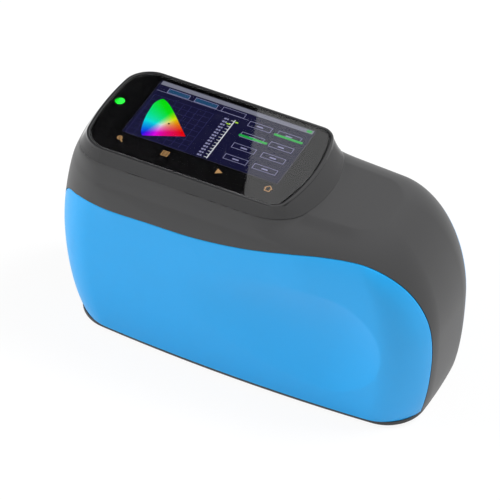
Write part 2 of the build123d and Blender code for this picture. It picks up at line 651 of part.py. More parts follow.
back = -MEASURE_WALL - SWITCH_BACK
with BuildPart() as measure_key:
    capsule(MEASURE_PLANE, *MEASURE_SIZE, -MEASURE_WALL - 0.3 - FLANGE_T, MEASURE_PROUD)
    fillet(measure_key.faces().sort_by(Axis.Y)[-1].edges(), 0.8)
    capsule(MEASURE_PLANE, MEASURE_SIZE[0] + 2 * FLANGE_LIP, MEASURE_SIZE[1] + 2 * FLANGE_LIP,
            -MEASURE_WALL - 0.3 - FLANGE_T, -MEASURE_WALL - 0.3)
    disc(MEASURE_PLANE, 2.6, -MEASURE_WALL - 0.3 - FLANGE_T - 0.6, -MEASURE_WALL)
save(measure_key.part, "measure_key")
key_plunger(MEASURE_PLANE, MEASURE_WALL, MEASURE_TRAVEL, "measure")
key_switch(MEASURE_PLANE, MEASURE_WALL, "measure")
with BuildPart() as measure_board:
    block(MEASURE_PLANE, 14, 28, back - BOARD_T, back)
save(measure_board.part, "measure_board")

back = -POWER_WALL - SWITCH_BACK
with BuildPart() as power_key:
    disc(POWER_PLANE, POWER_R, -POWER_WALL - 0.3 - FLANGE_T, POWER_PROUD)
    fillet(power_key.faces().sort_by(Axis.X)[0].edges(), 0.5)
    disc(POWER_PLANE, POWER_R + FLANGE_LIP, -POWER_WALL - 0.3 - FLANGE_T, -POWER_WALL - 0.3)
    disc(POWER_PLANE, 2.6, -POWER_WALL - 0.3 - FLANGE_T - 0.6, -POWER_WALL)
save(power_key.part, "power_key")
key_plunger(POWER_PLANE, POWER_WALL, POWER_TRAVEL, "power")
key_switch(POWER_PLANE, POWER_WALL, "power")
with BuildPart() as power_board:
    block(POWER_PLANE, 28, 12, back - BOARD_T, back)
save(power_board.part, "power_board")

# Port: a metal shell with its tongue, on a small board on the housing's shelf
PORT_FACE_X = -reach(PORT_Z)[0] + 0.9
with BuildPart() as port:
    with BuildSketch(Plane.YZ.offset(PORT_FACE_X)):
        with Locations((0, PORT_Z)):
            RectangleRounded(PORT_SIZE[0], PORT_SIZE[1], PORT_SIZE[1] / 2 - 0.05)
    extrude(amount=PORT_DEPTH)
    with BuildSketch(Plane.YZ.offset(PORT_FACE_X)):
        with Locations((0, PORT_Z)):
            RectangleRounded(PORT_SIZE[0] - 2 * PORT_WALL, PORT_SIZE[1] - 2 * PORT_WALL, PORT_SIZE[1] / 2 - 0.5)
    extrude(amount=PORT_DEPTH - 1, mode=Mode.SUBTRACT)
    with BuildSketch(Plane.YZ.offset(PORT_FACE_X + 0.8)):
        with Locations((0, PORT_Z)):
            Rectangle(PORT_SIZE[0] - 2.6, 0.7)
    extrude(amount=PORT_DEPTH - 1)
save(port.part, "usb_port")

with BuildPart() as port_board:
    block(spot(-85.5, 0, PORT_Z), 12.0, 16.0, -PORT_SIZE[1] / 2 - 1.6, -PORT_SIZE[1] / 2)
save(port_board.part, "port_board")
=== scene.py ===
# %% [markdown]
# # A handheld multi-angle spectrophotometer
# The instrument is a rounded bar: one dark moulded housing, two blue grips let into its sides, and a glossy
# black display on top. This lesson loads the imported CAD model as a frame, then makes each outer skin again as
# a smooth surface, because the skins are seen first and a CAD mesh shows its facets there. The pieces inside
# keep their CAD meshes and get a finish.

import math

import bmesh
import bpy
import numpy as np
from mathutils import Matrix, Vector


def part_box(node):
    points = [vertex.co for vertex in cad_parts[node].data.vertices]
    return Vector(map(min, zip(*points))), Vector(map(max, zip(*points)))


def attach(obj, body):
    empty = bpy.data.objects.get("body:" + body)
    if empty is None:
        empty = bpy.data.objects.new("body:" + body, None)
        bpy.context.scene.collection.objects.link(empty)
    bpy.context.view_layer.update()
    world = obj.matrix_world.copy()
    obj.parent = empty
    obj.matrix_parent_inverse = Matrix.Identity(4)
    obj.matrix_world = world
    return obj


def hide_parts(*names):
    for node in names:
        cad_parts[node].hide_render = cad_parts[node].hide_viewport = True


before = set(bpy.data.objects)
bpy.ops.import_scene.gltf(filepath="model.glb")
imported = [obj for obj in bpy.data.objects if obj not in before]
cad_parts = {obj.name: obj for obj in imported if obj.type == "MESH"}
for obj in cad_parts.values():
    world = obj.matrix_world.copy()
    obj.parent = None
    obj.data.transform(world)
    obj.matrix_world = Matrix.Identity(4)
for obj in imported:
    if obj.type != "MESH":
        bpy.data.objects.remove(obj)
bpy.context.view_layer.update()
MM = 0.001

# %% [markdown]
# ## The form of the body
# Seen from above the real moulding has the same kind of outline at every height: two long sides and two ends,
# all a little bowed, with rounded corners. Only its reach and its width change with the height. It could be
# lofted through sections drawn at a few heights, but a function of the height can be sampled as finely as
# needed, and it doesn't ripple between two sections.

# %% Main sizes, read from the frame in millimetres
def box_mm(node):
    """Lowest and highest corner of a CAD node, in millimetres."""
    low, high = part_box(node)
    return np.array(low) / MM, np.array(high) / MM


shell_low, _ = box_mm("housing")
tray_low, tray_high = box_mm("display_frame")
SHELL_Z = shell_low[2]
SEAM_Z, LIP_Z = tray_low[2], tray_high[2]
HALF_LENGTH, HALF_WIDTH = 96.5, 36.5
WAIST_Z, CROWN_Z = 50.0, SEAM_Z
print("shell from", round(SHELL_Z, 1), "to", round(CROWN_Z, 1), "mm, display up to", round(LIP_Z, 1), "mm")

# %% Reach and width of the body at a height
NECK_REACH = 62.0
TUCK_LEFT, TUCK_RIGHT, TUCK_POWER = 13.0, 7.3, 1.9
LEAN = 10.8
SHOULDER_POWER = 5.3


def arc(share, power):
    """Height of a superellipse arc of unit size: (1 - |share|^power)^(1/power)."""
    return (1 - np.clip(np.abs(share), 0, 1) ** power) ** (1 / power)


def reach(z):
    """Reach to -X, reach to +X and half width at height z.

    Below the waist both ends tuck in along a superellipse. Above it the display end leans in with the square
    of the height, the neck's end is a quarter circle, and the width follows a squarer superellipse.
    """
    tuck = 1 - arc((WAIST_Z - z) / WAIST_Z * (z < WAIST_Z), TUCK_POWER)
    rise = np.clip((z - WAIST_Z) / (CROWN_Z + 0.5 - WAIST_Z), 0, 0.9999)
    left = HALF_LENGTH - TUCK_LEFT * tuck - LEAN * rise**2
    right_below = HALF_LENGTH - TUCK_RIGHT * tuck
    right_above = NECK_REACH + (HALF_LENGTH - NECK_REACH) * arc(rise, 2)
    right = np.where(z < WAIST_Z, right_below, right_above)
    return left, right, HALF_WIDTH * arc(rise, SHOULDER_POWER) - rise


sample_z = np.array([10.0, WAIST_Z, 90.0])
print("left, right and half width at", sample_z.tolist(), "mm:", np.round(reach(sample_z), 1).tolist())


# %% Distance to a bowed outline
def outline_distance(x, y, left, right, half, side_bow, bow_left, bow_right, corner):
    """Distance in plan from an outline with two long sides, two ends and rounded corners; negative inside.

    A side or an end with bow b over half length a lies on a circle of radius (a^2 + b^2) / 2b. The distances
    to the side and to the end meet in a rounded corner: |max(d + r, 0)| + min(max(d + r), 0) - r.
    """
    middle, across = (right - left) / 2, (right + left) / 2
    side_r = (across**2 + side_bow**2) / (2 * side_bow)
    left_r = (half**2 + bow_left**2) / (2 * bow_left)
    right_r = (half**2 + bow_right**2) / (2 * bow_right)
    to_side = np.hypot(x - middle, np.abs(y) + side_r - half) - side_r + corner
    to_left = np.hypot(x + left - left_r, y) - left_r
    to_right = np.hypot(x - right + right_r, y) - right_r
    to_end = np.where(x > middle, to_right, to_left) + corner
    past_corner = np.hypot(np.maximum(to_side, 0), np.maximum(to_end, 0))
    return past_corner + np.minimum(np.maximum(to_side, to_end), 0) - corner


sample_gap = outline_distance(0.0, 0.0, 30.0, 30.0, 20.0, 1.0, 1.0, 1.0, 5.0)
print("the middle of an outline 40 mm deep lies", round(float(-sample_gap), 1), "mm inside it")


# %% [markdown]
# ## Joining the display's plinth to the body
# The display stands on a plinth with steeper walls than the body's shoulder, and on the real moulding the two
# flow into each other through a soft valley. Two solids could be united and their seam filleted, but a fillet
# fails easily where both sides curve. A smooth minimum of the two distances gives that valley at once, and
# its one number is about the radius of the valley.

# %% The plinth
PLINTH_SWELL = {
    "side": (0.24, -0.007), "left": (0.37, -0.0055), "right": (1.05, -0.0077), "corner": (0.42, -0.003),
    "left bow": (0.07, 0.0),
}
PLINTH_BOW_LEFT, PLINTH_BOW_RIGHT, PLINTH_CORNER = 5.0, 11.0, 12.0
STRAIGHT = 0.02
TOP_BEVEL = 0.4


def swell(part, down):
    """How far a part of the plinth has grown at a depth below the seam: first * depth + second * depth^2."""
    first, second = PLINTH_SWELL[part]
    return first * down + second * down**2


def plinth_half(z):
    """Half width of the plinth: it swells a little below the seam, then draws in."""
    return tray_high[1] + swell("side", np.maximum(SEAM_Z - z, 0))


def plinth_distance(x, y, z):
    """Distance from the plinth: an outline that swells with the depth below the seam, with a bevelled top."""
    down = np.maximum(SEAM_Z - z, 0)
    bevel = np.maximum(z - (SEAM_Z - TOP_BEVEL), 0)
    flat = outline_distance(
        x, y, swell("left", down) - tray_low[0] - bevel, tray_high[0] + swell("right", down) - bevel,
        plinth_half(z) - bevel, STRAIGHT, PLINTH_BOW_LEFT + swell("left bow", down), PLINTH_BOW_RIGHT,
        PLINTH_CORNER + swell("corner", down),
    )
    return np.maximum(flat, z - SEAM_Z)


print("plinth", round(2 * float(plinth_half(SEAM_Z)), 1), "mm wide at the seam")

# %% The whole body
SIDE_BOW, END_BOW, CORNER_SHARE = 0.11, 2.0, 0.55
VALLEY_LEAST, VALLEY_SIDE, VALLEY_NECK = 0.3, 1.2, 2.2
NECK_X = (18.0, 38.0)


def body_distance(x, y, z):
    """Signed distance in plan from the whole body: the smooth minimum -k log(e^(-a/k) + e^(-b/k)).

    The valley's size k grows with the depth below the seam, and grows more toward the neck. The last line
    keeps the join from bulging past both forms.
    """
    left, right, half = reach(z)
    hull = outline_distance(x, y, left, right, half, SIDE_BOW * half, END_BOW, END_BOW, CORNER_SHARE * half)
    hull = np.maximum(hull, z - CROWN_Z + 0.1)
    depth = SEAM_Z - z
    toward_neck = np.clip((x - NECK_X[0]) / (NECK_X[1] - NECK_X[0]), 0, 1)
    neck_valley = np.clip(0.3 * depth, 0, VALLEY_NECK) * toward_neck
    valley = VALLEY_LEAST + np.clip(0.1 * depth, 0, VALLEY_SIDE) + neck_valley
    a, b = hull / valley, plinth_distance(x, y, z) / valley
    low = np.minimum(a, b)
    joined = valley * (low - np.log(np.exp(low - a) + np.exp(low - b)))
    return np.maximum(joined, np.abs(y) - np.maximum(half, plinth_half(z)) - 0.05)


print("the body's middle lies", round(-float(body_distance(0.0, 0.0, WAIST_Z)), 1), "mm inside its skin")


# %% Rays from the spine to the skin
SPINE_END = 60.0
FARTHEST = 120.0
HALVINGS = 36


def spine(aim):
    """The point of the inner spine from which a ray goes through aim: level with it below the waist."""
    start = np.zeros_like(aim)
    start[..., 0] = np.clip(aim[..., 0], -SPINE_END, SPINE_END)
    start[..., 2] = np.minimum(aim[..., 2], WAIST_Z)
    return start


def skin(aim):
    """Where the rays from the spine through aim leave the body, found by halving an interval."""
    start = spine(aim)
    way = aim - start
    way /= np.linalg.norm(way, axis=-1, keepdims=True)
    near, far = np.zeros(aim.shape[:-1]), np.full(aim.shape[:-1], FARTHEST)
    for _ in range(HALVINGS):
        middle = (near + far) / 2
        inside = body_distance(*np.moveaxis(start + way * middle[..., None], -1, 0)) < 0
        near, far = np.where(inside, middle, near), np.where(inside, far, middle)
    return start + way * near[..., None]


probes = skin(np.array([[0.0, 0.0, 80.0], [80.0, 0.0, 80.0], [0.0, -20.0, 50.0]]))
print("skin over the display, at the neck and at the side:", np.round(probes, 1).tolist())

# %% [markdown]
# ## The line between the grip and the housing
# One closed line sets the look of the whole instrument: it climbs the display end, runs below the display,
# rises to the neck and falls along its end. It could be left to fall out where two separate surfaces meet,
# but then a small change to one of them opens a gap. Here a smooth curve through a few chosen points is laid
# on the skin first, and the grip and the housing both take their rims from it.

# %% A smooth curve through chosen points
def smooth_curve(points, count):
    """A cubic Hermite curve: each point's slope is the mean rate of change over its two neighbours."""
    p = np.array(points, float)
    s = np.concatenate([[0], np.cumsum(np.linalg.norm(np.diff(p, axis=0), axis=1))])
    slope = np.gradient(p, s, axis=0)
    at = np.linspace(0, s[-1], count)
    i = np.clip(np.searchsorted(s, at, side="right") - 1, 0, len(s) - 2)
    h = (s[i + 1] - s[i])[:, None]
    t = (at - s[i])[:, None] / h
    ahead = (3 - 2 * t) * t**2
    return (1 - ahead) * p[i] + ahead * p[i + 1] + t * (1 - t) * h * ((1 - t) * slope[i] - t * slope[i + 1])


sample_bump = smooth_curve([(0, 0), (5, 2), (10, 0)], 21)
print("a curve over a point 2 mm up rises to", round(float(sample_bump[:, 1].max()), 2), "mm")

# %% The grip's rim and its lower edge, for the front side
COLUMNS = 360
GRIP_RIM = [
    (-87.5, -18.0, SHELL_Z), (-93.6, -18.0, 22.0), (-96.3, -18.0, 42.0), (-95.6, -18.7, 58.0),
    (-93.0, -21.0, 69.5), (-88.0, -25.6, 76.2), (-80.0, -30.5, 79.0), (-67.8, -33.5, 79.6),
    (-42.0, -35.0, 81.2), (-17.0, -35.5, 82.6), (7.7, -35.5, 86.6), (31.6, -34.0, 91.9),
    (47.0, -32.8, 95.9), (58.0, -31.4, 97.0), (67.0, -29.4, 95.4), (76.5, -27.1, 91.2),
    (84.0, -25.0, 85.4), (89.4, -22.8, 77.5), (93.7, -20.4, 66.0), (96.2, -18.5, 48.0),
    (95.2, -18.0, 25.0), (91.2, -18.0, SHELL_Z),
]
GRIP_FOOT = [
    (-87.5, -18.0, SHELL_Z), (-85.0, -25.5, SHELL_Z), (-77.0, -31.5, SHELL_Z), (-62.0, -34.5, SHELL_Z),
    (0.0, -36.4, SHELL_Z), (62.0, -34.5, SHELL_Z), (80.5, -31.5, SHELL_Z), (88.3, -25.5, SHELL_Z),
    (91.2, -18.0, SHELL_Z),
]
rim = skin(smooth_curve(GRIP_RIM, COLUMNS))
foot = skin(smooth_curve(GRIP_FOOT, COLUMNS))
print("grip rim:", round(np.linalg.norm(np.diff(rim, axis=0), axis=1).sum()), "mm long")

# %% [markdown]
# ## Meshes from grids
# A moulding is a thin wall, and its outside is what counts. Every skin below is a grid of points, and one
# helper turns it into a mesh with shared corners and faces that point outwards. A Solidify modifier could add
# the wall, but its directions go astray at the small faces round a cut opening. So the wall is worked out
# here from the body's own slope, and it goes inwards, so that the outside stays in place.

# %% Grid to mesh
WELD = 1e-7
SHARP = math.radians(38)


def grid_faces(rows, columns, closed=False, turned=False):
    """Four-cornered faces between neighbouring grid points, as one array."""
    i = np.arange(rows * columns).reshape(rows, columns)
    ahead = np.roll(i, -1, axis=1) if closed else i[:, 1:]
    here = i if closed else i[:, :-1]
    faces = np.stack([here[:-1], ahead[:-1], ahead[1:], here[1:]], axis=-1).reshape(-1, 4)
    return faces[:, ::-1] if turned else faces


def add_piece(name, points, faces, material, body="instrument", slot=None, smooth=True):
    """Makes a mesh object from points in millimetres, merges doubled corners and lets it ride on a body."""
    mesh = bpy.data.meshes.new(name)
    mesh.from_pydata((np.asarray(points).reshape(-1, 3) * MM).tolist(), [], np.asarray(faces).tolist())
    weld = bmesh.new()
    weld.from_mesh(mesh)
    bmesh.ops.remove_doubles(weld, verts=weld.verts, dist=WELD)
    weld.to_mesh(mesh)
    weld.free()
    mesh.polygons.foreach_set("use_smooth", [smooth] * len(mesh.polygons))
    if smooth:
        mesh.set_sharp_from_angle(angle=SHARP)
    mesh.materials.append(material)
    piece = bpy.data.objects.new(name, mesh)
    bpy.context.scene.collection.objects.link(piece)
    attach(piece, body)
    return piece


print("a grid of 3 x 4 points has", len(grid_faces(3, 4)), "faces")


# %% Walls and slopes
def body_normals(points):
    """Outward unit normals of the body: the slope of its distance, from differences 0.05 mm either way."""
    slope = [body_distance(*(points + s).T) - body_distance(*(points - s).T) for s in np.eye(3) * 0.05]
    slope = np.stack(slope, axis=-1)
    return slope / np.linalg.norm(slope, axis=-1, keepdims=True)


def walled(points, faces, thickness):
    """A skin with its wall: the same points moved inwards, faces turned round, and strips along open edges.

    An edge is open where only one face uses it, so openings get their walls as well as the outer rim.
    """
    inner = points - body_normals(points) * thickness
    edges = np.concatenate([faces[:, [i, (i + 1) % 4]] for i in range(4)])
    _, where, uses = np.unique(np.sort(edges, axis=1), axis=0, return_inverse=True, return_counts=True)
    a, b = edges[uses[where.ravel()] == 1].T
    n = len(points)
    strips = np.stack([b, a, a + n, b + n], axis=-1)
    return np.concatenate([points, inner]), np.concatenate([faces, faces[:, ::-1] + n, strips])


def normals(grid):
    """Unit normals of a grid, from the cross product of its two slopes, facing away from the body."""
    n = np.cross(np.gradient(grid, axis=0), np.gradient(grid, axis=1))
    n /= np.linalg.norm(n, axis=-1, keepdims=True) + 1e-9
    return n * np.where((n * (grid - spine(grid))).sum(-1, keepdims=True) < 0, -1, 1)


print("slope of the skin at the neck:", np.round(body_normals(probes)[1], 2).tolist())

# %% [markdown]
# ## Openings in a skin
# The keys and the port come through real holes in the mouldings. A boolean cut could make them, but it leaves
# long thin faces and can fail on an open skin. Here the faces inside the hole are left out, and the corners
# next to it move onto its edge, so the grid stays even and the edge is exact.

# %% Cutting an opening
ELSEWHERE = 50.0
SLOPE_STEP = 0.01


def cut_opening(points, faces, outside):
    """Leaves an opening where outside(points) is negative.

    Faces with every corner inside go. The inner corners of the faces that stay are moved out along the slope
    of the distance, taken by finite differences, so they come to lie on the opening's edge.
    """
    points = points.reshape(-1, 3).copy()
    distance = outside(points)
    faces = faces[~(distance[faces] < 0).all(axis=1)]
    moved = np.unique(faces)
    moved = moved[distance[moved] < 0]
    for _ in range(3):
        here = points[moved]
        slope = [(outside(here + step) - outside(here)) / SLOPE_STEP for step in np.eye(3) * SLOPE_STEP]
        slope = np.stack(slope, axis=-1)
        slope /= (slope**2).sum(-1, keepdims=True) + 1e-6
        points[moved] = here - slope * outside(here)[:, None]
    return points, faces


def opening_round(node, axis, radius, flat=0.0, shift=0.0):
    """Distance from a round or long opening round a CAD node, on the node's own side of the body.

    The opening lies along one level axis, 0 for X or 1 for Y, and upwards. It is long by flat either way.
    """
    low, high = box_mm(node)
    middle = (low + high) / 2
    facing = 1 - axis

    def outside(points):
        """Distance from the opening's edge on the node's side, and far away on the other side."""
        along = np.maximum(np.abs(points[:, axis] - middle[axis]) - flat, 0)
        gap = np.hypot(along, points[:, 2] - middle[2] - shift) - radius
        return np.where(points[:, facing] * np.sign(middle[facing]) > 0, gap, ELSEWHERE)

    return outside


power_size = np.ptp(box_mm("power_key"), axis=0)
print("the power key is", round(float(power_size[1]), 1), "mm across with its flange")

# %% [markdown]
# ## Materials that are shared
# All mouldings have a faint grain: small bumps, and a roughness that is nowhere quite even. Handling also
# polishes raised places a little. Each material could have its own noise and wear nodes, but then no two
# would match. Each effect is one node group with named inputs, and a material only says how much of it there
# is.

# %% Node helpers
def new_group(name, inputs, outputs):
    """An empty shader node group with float inputs and the given outputs."""
    group = bpy.data.node_groups.new(name, "ShaderNodeTree")
    for label, value in inputs:
        socket = group.interface.new_socket(name=label, in_out="INPUT", socket_type="NodeSocketFloat")
        socket.default_value = value
    for label, kind in outputs:
        group.interface.new_socket(name=label, in_out="OUTPUT", socket_type=kind)
    return group, group.nodes.new("NodeGroupInput"), group.nodes.new("NodeGroupOutput")


def join(tree, *pairs):
    """Links pairs of sockets."""
    for out_socket, in_socket in pairs:
        tree.links.new(out_socket, in_socket)


def math_node(tree, operation, first, second):
    """A Math node; each input is a socket or a number."""
    node = tree.nodes.new("ShaderNodeMath")
    node.operation = operation
    for slot_in, value in zip(node.inputs, (first, second)):
        if isinstance(value, (int, float)):
            slot_in.default_value = value
        else:
            tree.links.new(value, slot_in)
    return node.outputs[0]


# %% The grain group: bumps and uneven roughness
grain_group, grain_in, grain_out = new_group(
    "moulded grain",
    [("Scale", 2200.0), ("Roughness", 0.5), ("Spread", 0.08)],
    [("Height", "NodeSocketFloat"), ("Roughness", "NodeSocketFloat"), ("Cloud", "NodeSocketFloat")],
)
place = grain_group.nodes.new("ShaderNodeTexCoord").outputs["Object"]
fine, broad = grain_group.nodes.new("ShaderNodeTexNoise"), grain_group.nodes.new("ShaderNodeTexNoise")
fine.inputs["Detail"].default_value = 3.0
broad.inputs["Scale"].default_value = 26.0
broad.inputs["Detail"].default_value = 4.0
centred = math_node(grain_group, "SUBTRACT", broad.outputs["Fac"], 0.5)
shift = math_node(grain_group, "MULTIPLY", centred, grain_in.outputs["Spread"])
join(
    grain_group,
    (place, fine.inputs["Vector"]), (place, broad.inputs["Vector"]),
    (grain_in.outputs["Scale"], fine.inputs["Scale"]),
    (fine.outputs["Fac"], grain_out.inputs["Height"]),
    (math_node(grain_group, "ADD", grain_in.outputs["Roughness"], shift), grain_out.inputs["Roughness"]),
    (broad.outputs["Fac"], grain_out.inputs["Cloud"]),
)
print("group", grain_group.name, "has", len(grain_group.nodes), "nodes")

# %% The wear group: raised places and rims that hands have polished
wear_group, wear_in, wear_out = new_group(
    "handled edges", [("Amount", 0.5)], [("Mask", "NodeSocketFloat")]
)
bent = wear_group.nodes.new("ShaderNodeNewGeometry").outputs["Pointiness"]
patches = wear_group.nodes.new("ShaderNodeTexNoise")
patches.inputs["Scale"].default_value = 90.0
steep = wear_group.nodes.new("ShaderNodeMapRange")
steep.inputs["From Min"].default_value, steep.inputs["From Max"].default_value = 0.52, 0.60
join(
    wear_group,
    (wear_group.nodes.new("ShaderNodeTexCoord").outputs["Object"], patches.inputs["Vector"]),
    (bent, steep.inputs["Value"]),
    (math_node(
        wear_group, "MULTIPLY",
        math_node(wear_group, "MULTIPLY", steep.outputs["Result"], patches.outputs["Fac"]),
        wear_in.outputs["Amount"],
    ), wear_out.inputs["Mask"]),
)
print("group", wear_group.name, "has", len(wear_group.nodes), "nodes")


# %% A finish: one material with grain, wear and its own plain settings
def srgb(red, green, blue):
    """Linear colour of an 8-bit screen colour."""
    c = np.array([red, green, blue]) / 255
    return (*np.where(c <= 0.04045, c / 12.92, ((c + 0.055) / 1.055) ** 2.4), 1.0)


def add_group(tree, group, **values):
    """A group node with its inputs set."""
    node = tree.nodes.new("ShaderNodeGroup")
    node.node_tree = group
    for label, value in values.items():
        node.inputs[label].default_value = value
    return node


def finish(name, colour, roughness, scale=2200.0, bump=0.00002, spread=0.08, tint=0.12, wear=0.3, **plain):
    """A material: colour clouded by tint, grain of a scale and height, worn rims, and plain values."""
    material = bpy.data.materials.new(name)
    material.use_nodes = True
    tree = material.node_tree
    shader = tree.nodes["Principled BSDF"]
    grain = add_group(tree, grain_group, Scale=scale, Roughness=roughness, Spread=spread)
    rubbed = add_group(tree, wear_group, Amount=wear)
    light, dark = [tuple(min(1.0, c * (1 + way * tint)) for c in colour[:3]) + (1.0,) for way in (1, -1)]
    cloud = tree.nodes.new("ShaderNodeMix")
    cloud.data_type = "RGBA"
    cloud.inputs["A"].default_value, cloud.inputs["B"].default_value = dark, light
    worn = tree.nodes.new("ShaderNodeMix")
    worn.data_type = "RGBA"
    worn.inputs["B"].default_value = tuple(min(1.0, c * 1.5 + 0.02) for c in colour[:3]) + (1.0,)
    join(
        tree,
        (grain.outputs["Cloud"], cloud.inputs["Factor"]), (cloud.outputs["Result"], worn.inputs["A"]),
        (rubbed.outputs["Mask"], worn.inputs["Factor"]),
        (worn.outputs["Result"], shader.inputs["Base Color"]),
        (grain.outputs["Roughness"], shader.inputs["Roughness"]),
    )
    if bump > 0:
        bumps = tree.nodes.new("ShaderNodeBump")
        bumps.inputs["Distance"].default_value = bump
        join(
            tree, (grain.outputs["Height"], bumps.inputs["Height"]),
            (bumps.outputs["Normal"], shader.inputs["Normal"]),
        )
    for label, value in plain.items():
        shader.inputs[label.replace("_", " ")].default_value = value
    return material


def glow(material, colour, strength):
    """Lets a material give off light of one colour."""
    shader = material.node_tree.nodes["Principled BSDF"]
    shader.inputs["Emission Color"].default_value = colour
    shader.inputs["Emission Strength"].default_value = strength
    return material


# %% Finishes of the outside
housing_finish = finish("housing moulding", (0.034, 0.034, 0.035, 1), 0.42, spread=0.06, tint=0.04, wear=0.25)
grip_finish = finish(
    "soft blue grip", (0.010, 0.355, 0.79, 1), 0.40, scale=3200.0, bump=0.00001, tint=0.03, wear=0.2,
    Specular_IOR_Level=0.38,
)
gloss_finish = finish(
    "polished black", (0.020, 0.020, 0.021, 1), 0.08, bump=0.0, spread=0.03, tint=0.1, wear=0.2
)
base_finish = finish("base moulding", (0.018, 0.018, 0.019, 1), 0.5, wear=0.4)
print("finishes of the outside:", [m.name for m in bpy.data.materials])

# %% [markdown]
# ## The grips
# A grip is a thin soft skin that lies in a pocket of the housing. It could be cut out of a whole body skin by
# its outline, but the cut would cross the faces and leave a ragged rim. Here its columns run from the rim
# down to the lower edge, so the rim is a grid line and stays crisp. The rim is rolled inwards over a small
# radius, which gives the fine light line of a soft moulding, and the thumb scoop is pressed in sideways.

# %% The scoop
SCOOP_AT = (48.0, 44.0)
SCOOP_DEPTH, SCOOP_R, SCOOP_TAIL = 4.6, 28.5, 76.0
SCOOP_TILT, SCOOP_FADE = 0.06, 40.0


def scoop_depth(x, z):
    """Depth of the thumb scoop: a paraboloid 1 - rho^2, drawn out towards the display, where it fades."""
    dx = x - SCOOP_AT[0]
    dz = z - SCOOP_AT[1] + SCOOP_TILT * np.minimum(dx, 0)
    rho = np.hypot(dx / np.where(dx > 0, SCOOP_R, SCOOP_TAIL), dz / SCOOP_R)
    fade = 1.0 + np.clip(-dx / SCOOP_FADE, 0, 1)
    return SCOOP_DEPTH * np.clip(1 - rho**2, 0, 1) ** fade


print("scoop", round(float(scoop_depth(*SCOOP_AT)), 1), "mm deep at its middle")

# %% The grip's skin
ROWS = 110
CROWDED = 1.7
RIM_GAP, ROLL_R = 0.22, 0.7
up_share = 1 - np.linspace(1, 0, ROWS) ** CROWDED
length = np.linalg.norm(rim - foot, axis=1)
up_share = up_share[:, None] * np.clip(1 - RIM_GAP / np.maximum(length, 1.0), 0.5, 1)[None, :]
grip_skin = skin(foot[None] + (rim - foot)[None] * up_share[..., None])
grip_skin[..., 1] += scoop_depth(grip_skin[..., 0], grip_skin[..., 2])
from_rim = np.linalg.norm(grip_skin - grip_skin[-1:], axis=-1)
roll = np.clip(ROLL_R - from_rim, 0, ROLL_R)
grip_skin = grip_skin - normals(grip_skin) * (ROLL_R - np.sqrt(ROLL_R**2 - roll**2))[..., None]
print("front grip:", grip_skin.shape[0] * grip_skin.shape[1], "points")

# %% Both grips
KEY_GAP, KEY_FLANGE, KEY_CROWN = 0.35, 1.3, 0.6
GRIP_WALL, HOUSING_WALL = 2.0, 1.0
front = walled(grip_skin.reshape(-1, 3), grid_faces(ROWS, COLUMNS), GRIP_WALL)
front_grip = add_piece("grip_front", *front, grip_finish, slot="grip")
measure_low, measure_high = box_mm("measure_key")
measure_size = measure_high - measure_low - 2 * KEY_FLANGE - KEY_CROWN
measure_opening = opening_round(
    "measure_key", 0, measure_size[2] / 2 + KEY_GAP, flat=(measure_size[0] - measure_size[2]) / 2
)
rear = cut_opening(grip_skin * (1, -1, 1), grid_faces(ROWS, COLUMNS, turned=True), measure_opening)
rear_grip = add_piece("grip_rear", *walled(*rear, GRIP_WALL), grip_finish, slot="grip")
for grip, node in ((front_grip, "side_grip_front"), (rear_grip, "side_grip_rear")):
    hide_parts(node)
print("measure key", np.round(measure_size, 1).tolist(), "mm in an opening", KEY_GAP, "mm wider all round")

# %% [markdown]
# ## The housing
# Between the two rims the housing is one band: up the display end, over the top and down the neck. The whole
# body could be one mesh with the grips laid over it, but then the joint would only be a change of colour.
# The band's rows run along the rim and its columns from the front rim to the rear rim. Past each rim the
# band steps down and runs on under the grip, so the joint is a real groove with a dark bottom.

# %% The housing's band
ACROSS = 124
STEP_DOWN, UNDER_GRIP = 1.3, 3.0
across = np.linspace(-1, 1, ACROSS)
band = skin(rim[None] * np.column_stack([np.ones(ACROSS), across, np.ones(ACROSS)])[:, None])
outward = normals(band)
under_grips = []
for row, way in ((0, 1), (-1, -1)):
    away = band[row] - band[row + 3 * way]
    away /= np.linalg.norm(away, axis=-1, keepdims=True)
    bottom = band[row] - outward[row + way] * STEP_DOWN
    under_grips.append([bottom, bottom + away * UNDER_GRIP])
band = np.concatenate([np.array(under_grips[0])[::-1], band, np.array(under_grips[1])])
print("band:", band.shape[0] * band.shape[1], "points")

# %% The housing with its two openings
port_size = np.ptp(box_mm("usb_port"), axis=0)
POWER_GAP, POWER_UP = 0.25, 0.65
PORT_GAP = 0.2
openings = (
    opening_round("power_key", 1, power_size[1] / 2 - KEY_FLANGE + POWER_GAP, shift=POWER_UP),
    opening_round("usb_port", 1, port_size[2] / 2 + PORT_GAP, flat=(port_size[1] - port_size[2]) / 2),
)
shell = band.reshape(-1, 3), grid_faces(len(band), COLUMNS, turned=True)
for opening in openings:
    shell = cut_opening(*shell, opening)
housing = add_piece("housing_shell", *walled(*shell, HOUSING_WALL), housing_finish, slot="housing")
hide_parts("housing")
print("housing:", len(housing.data.polygons), "faces with its wall")

# %% [markdown]
# ## The display's tray
# The tray is the glossy black frame that carries the glass. Its outer wall slopes from a wide outline at the
# seam to a narrow one at the lip. A bevelled block could pass for it, but its bevel would be equally wide all
# round. Here one closed profile is carried round, and at each height it blends between the two outlines, so
# the sloping band comes out wide at the neck's end and narrow along the sides.

# %% Rays round an outline
MIDDLE = np.array([-27.0, 0.0])


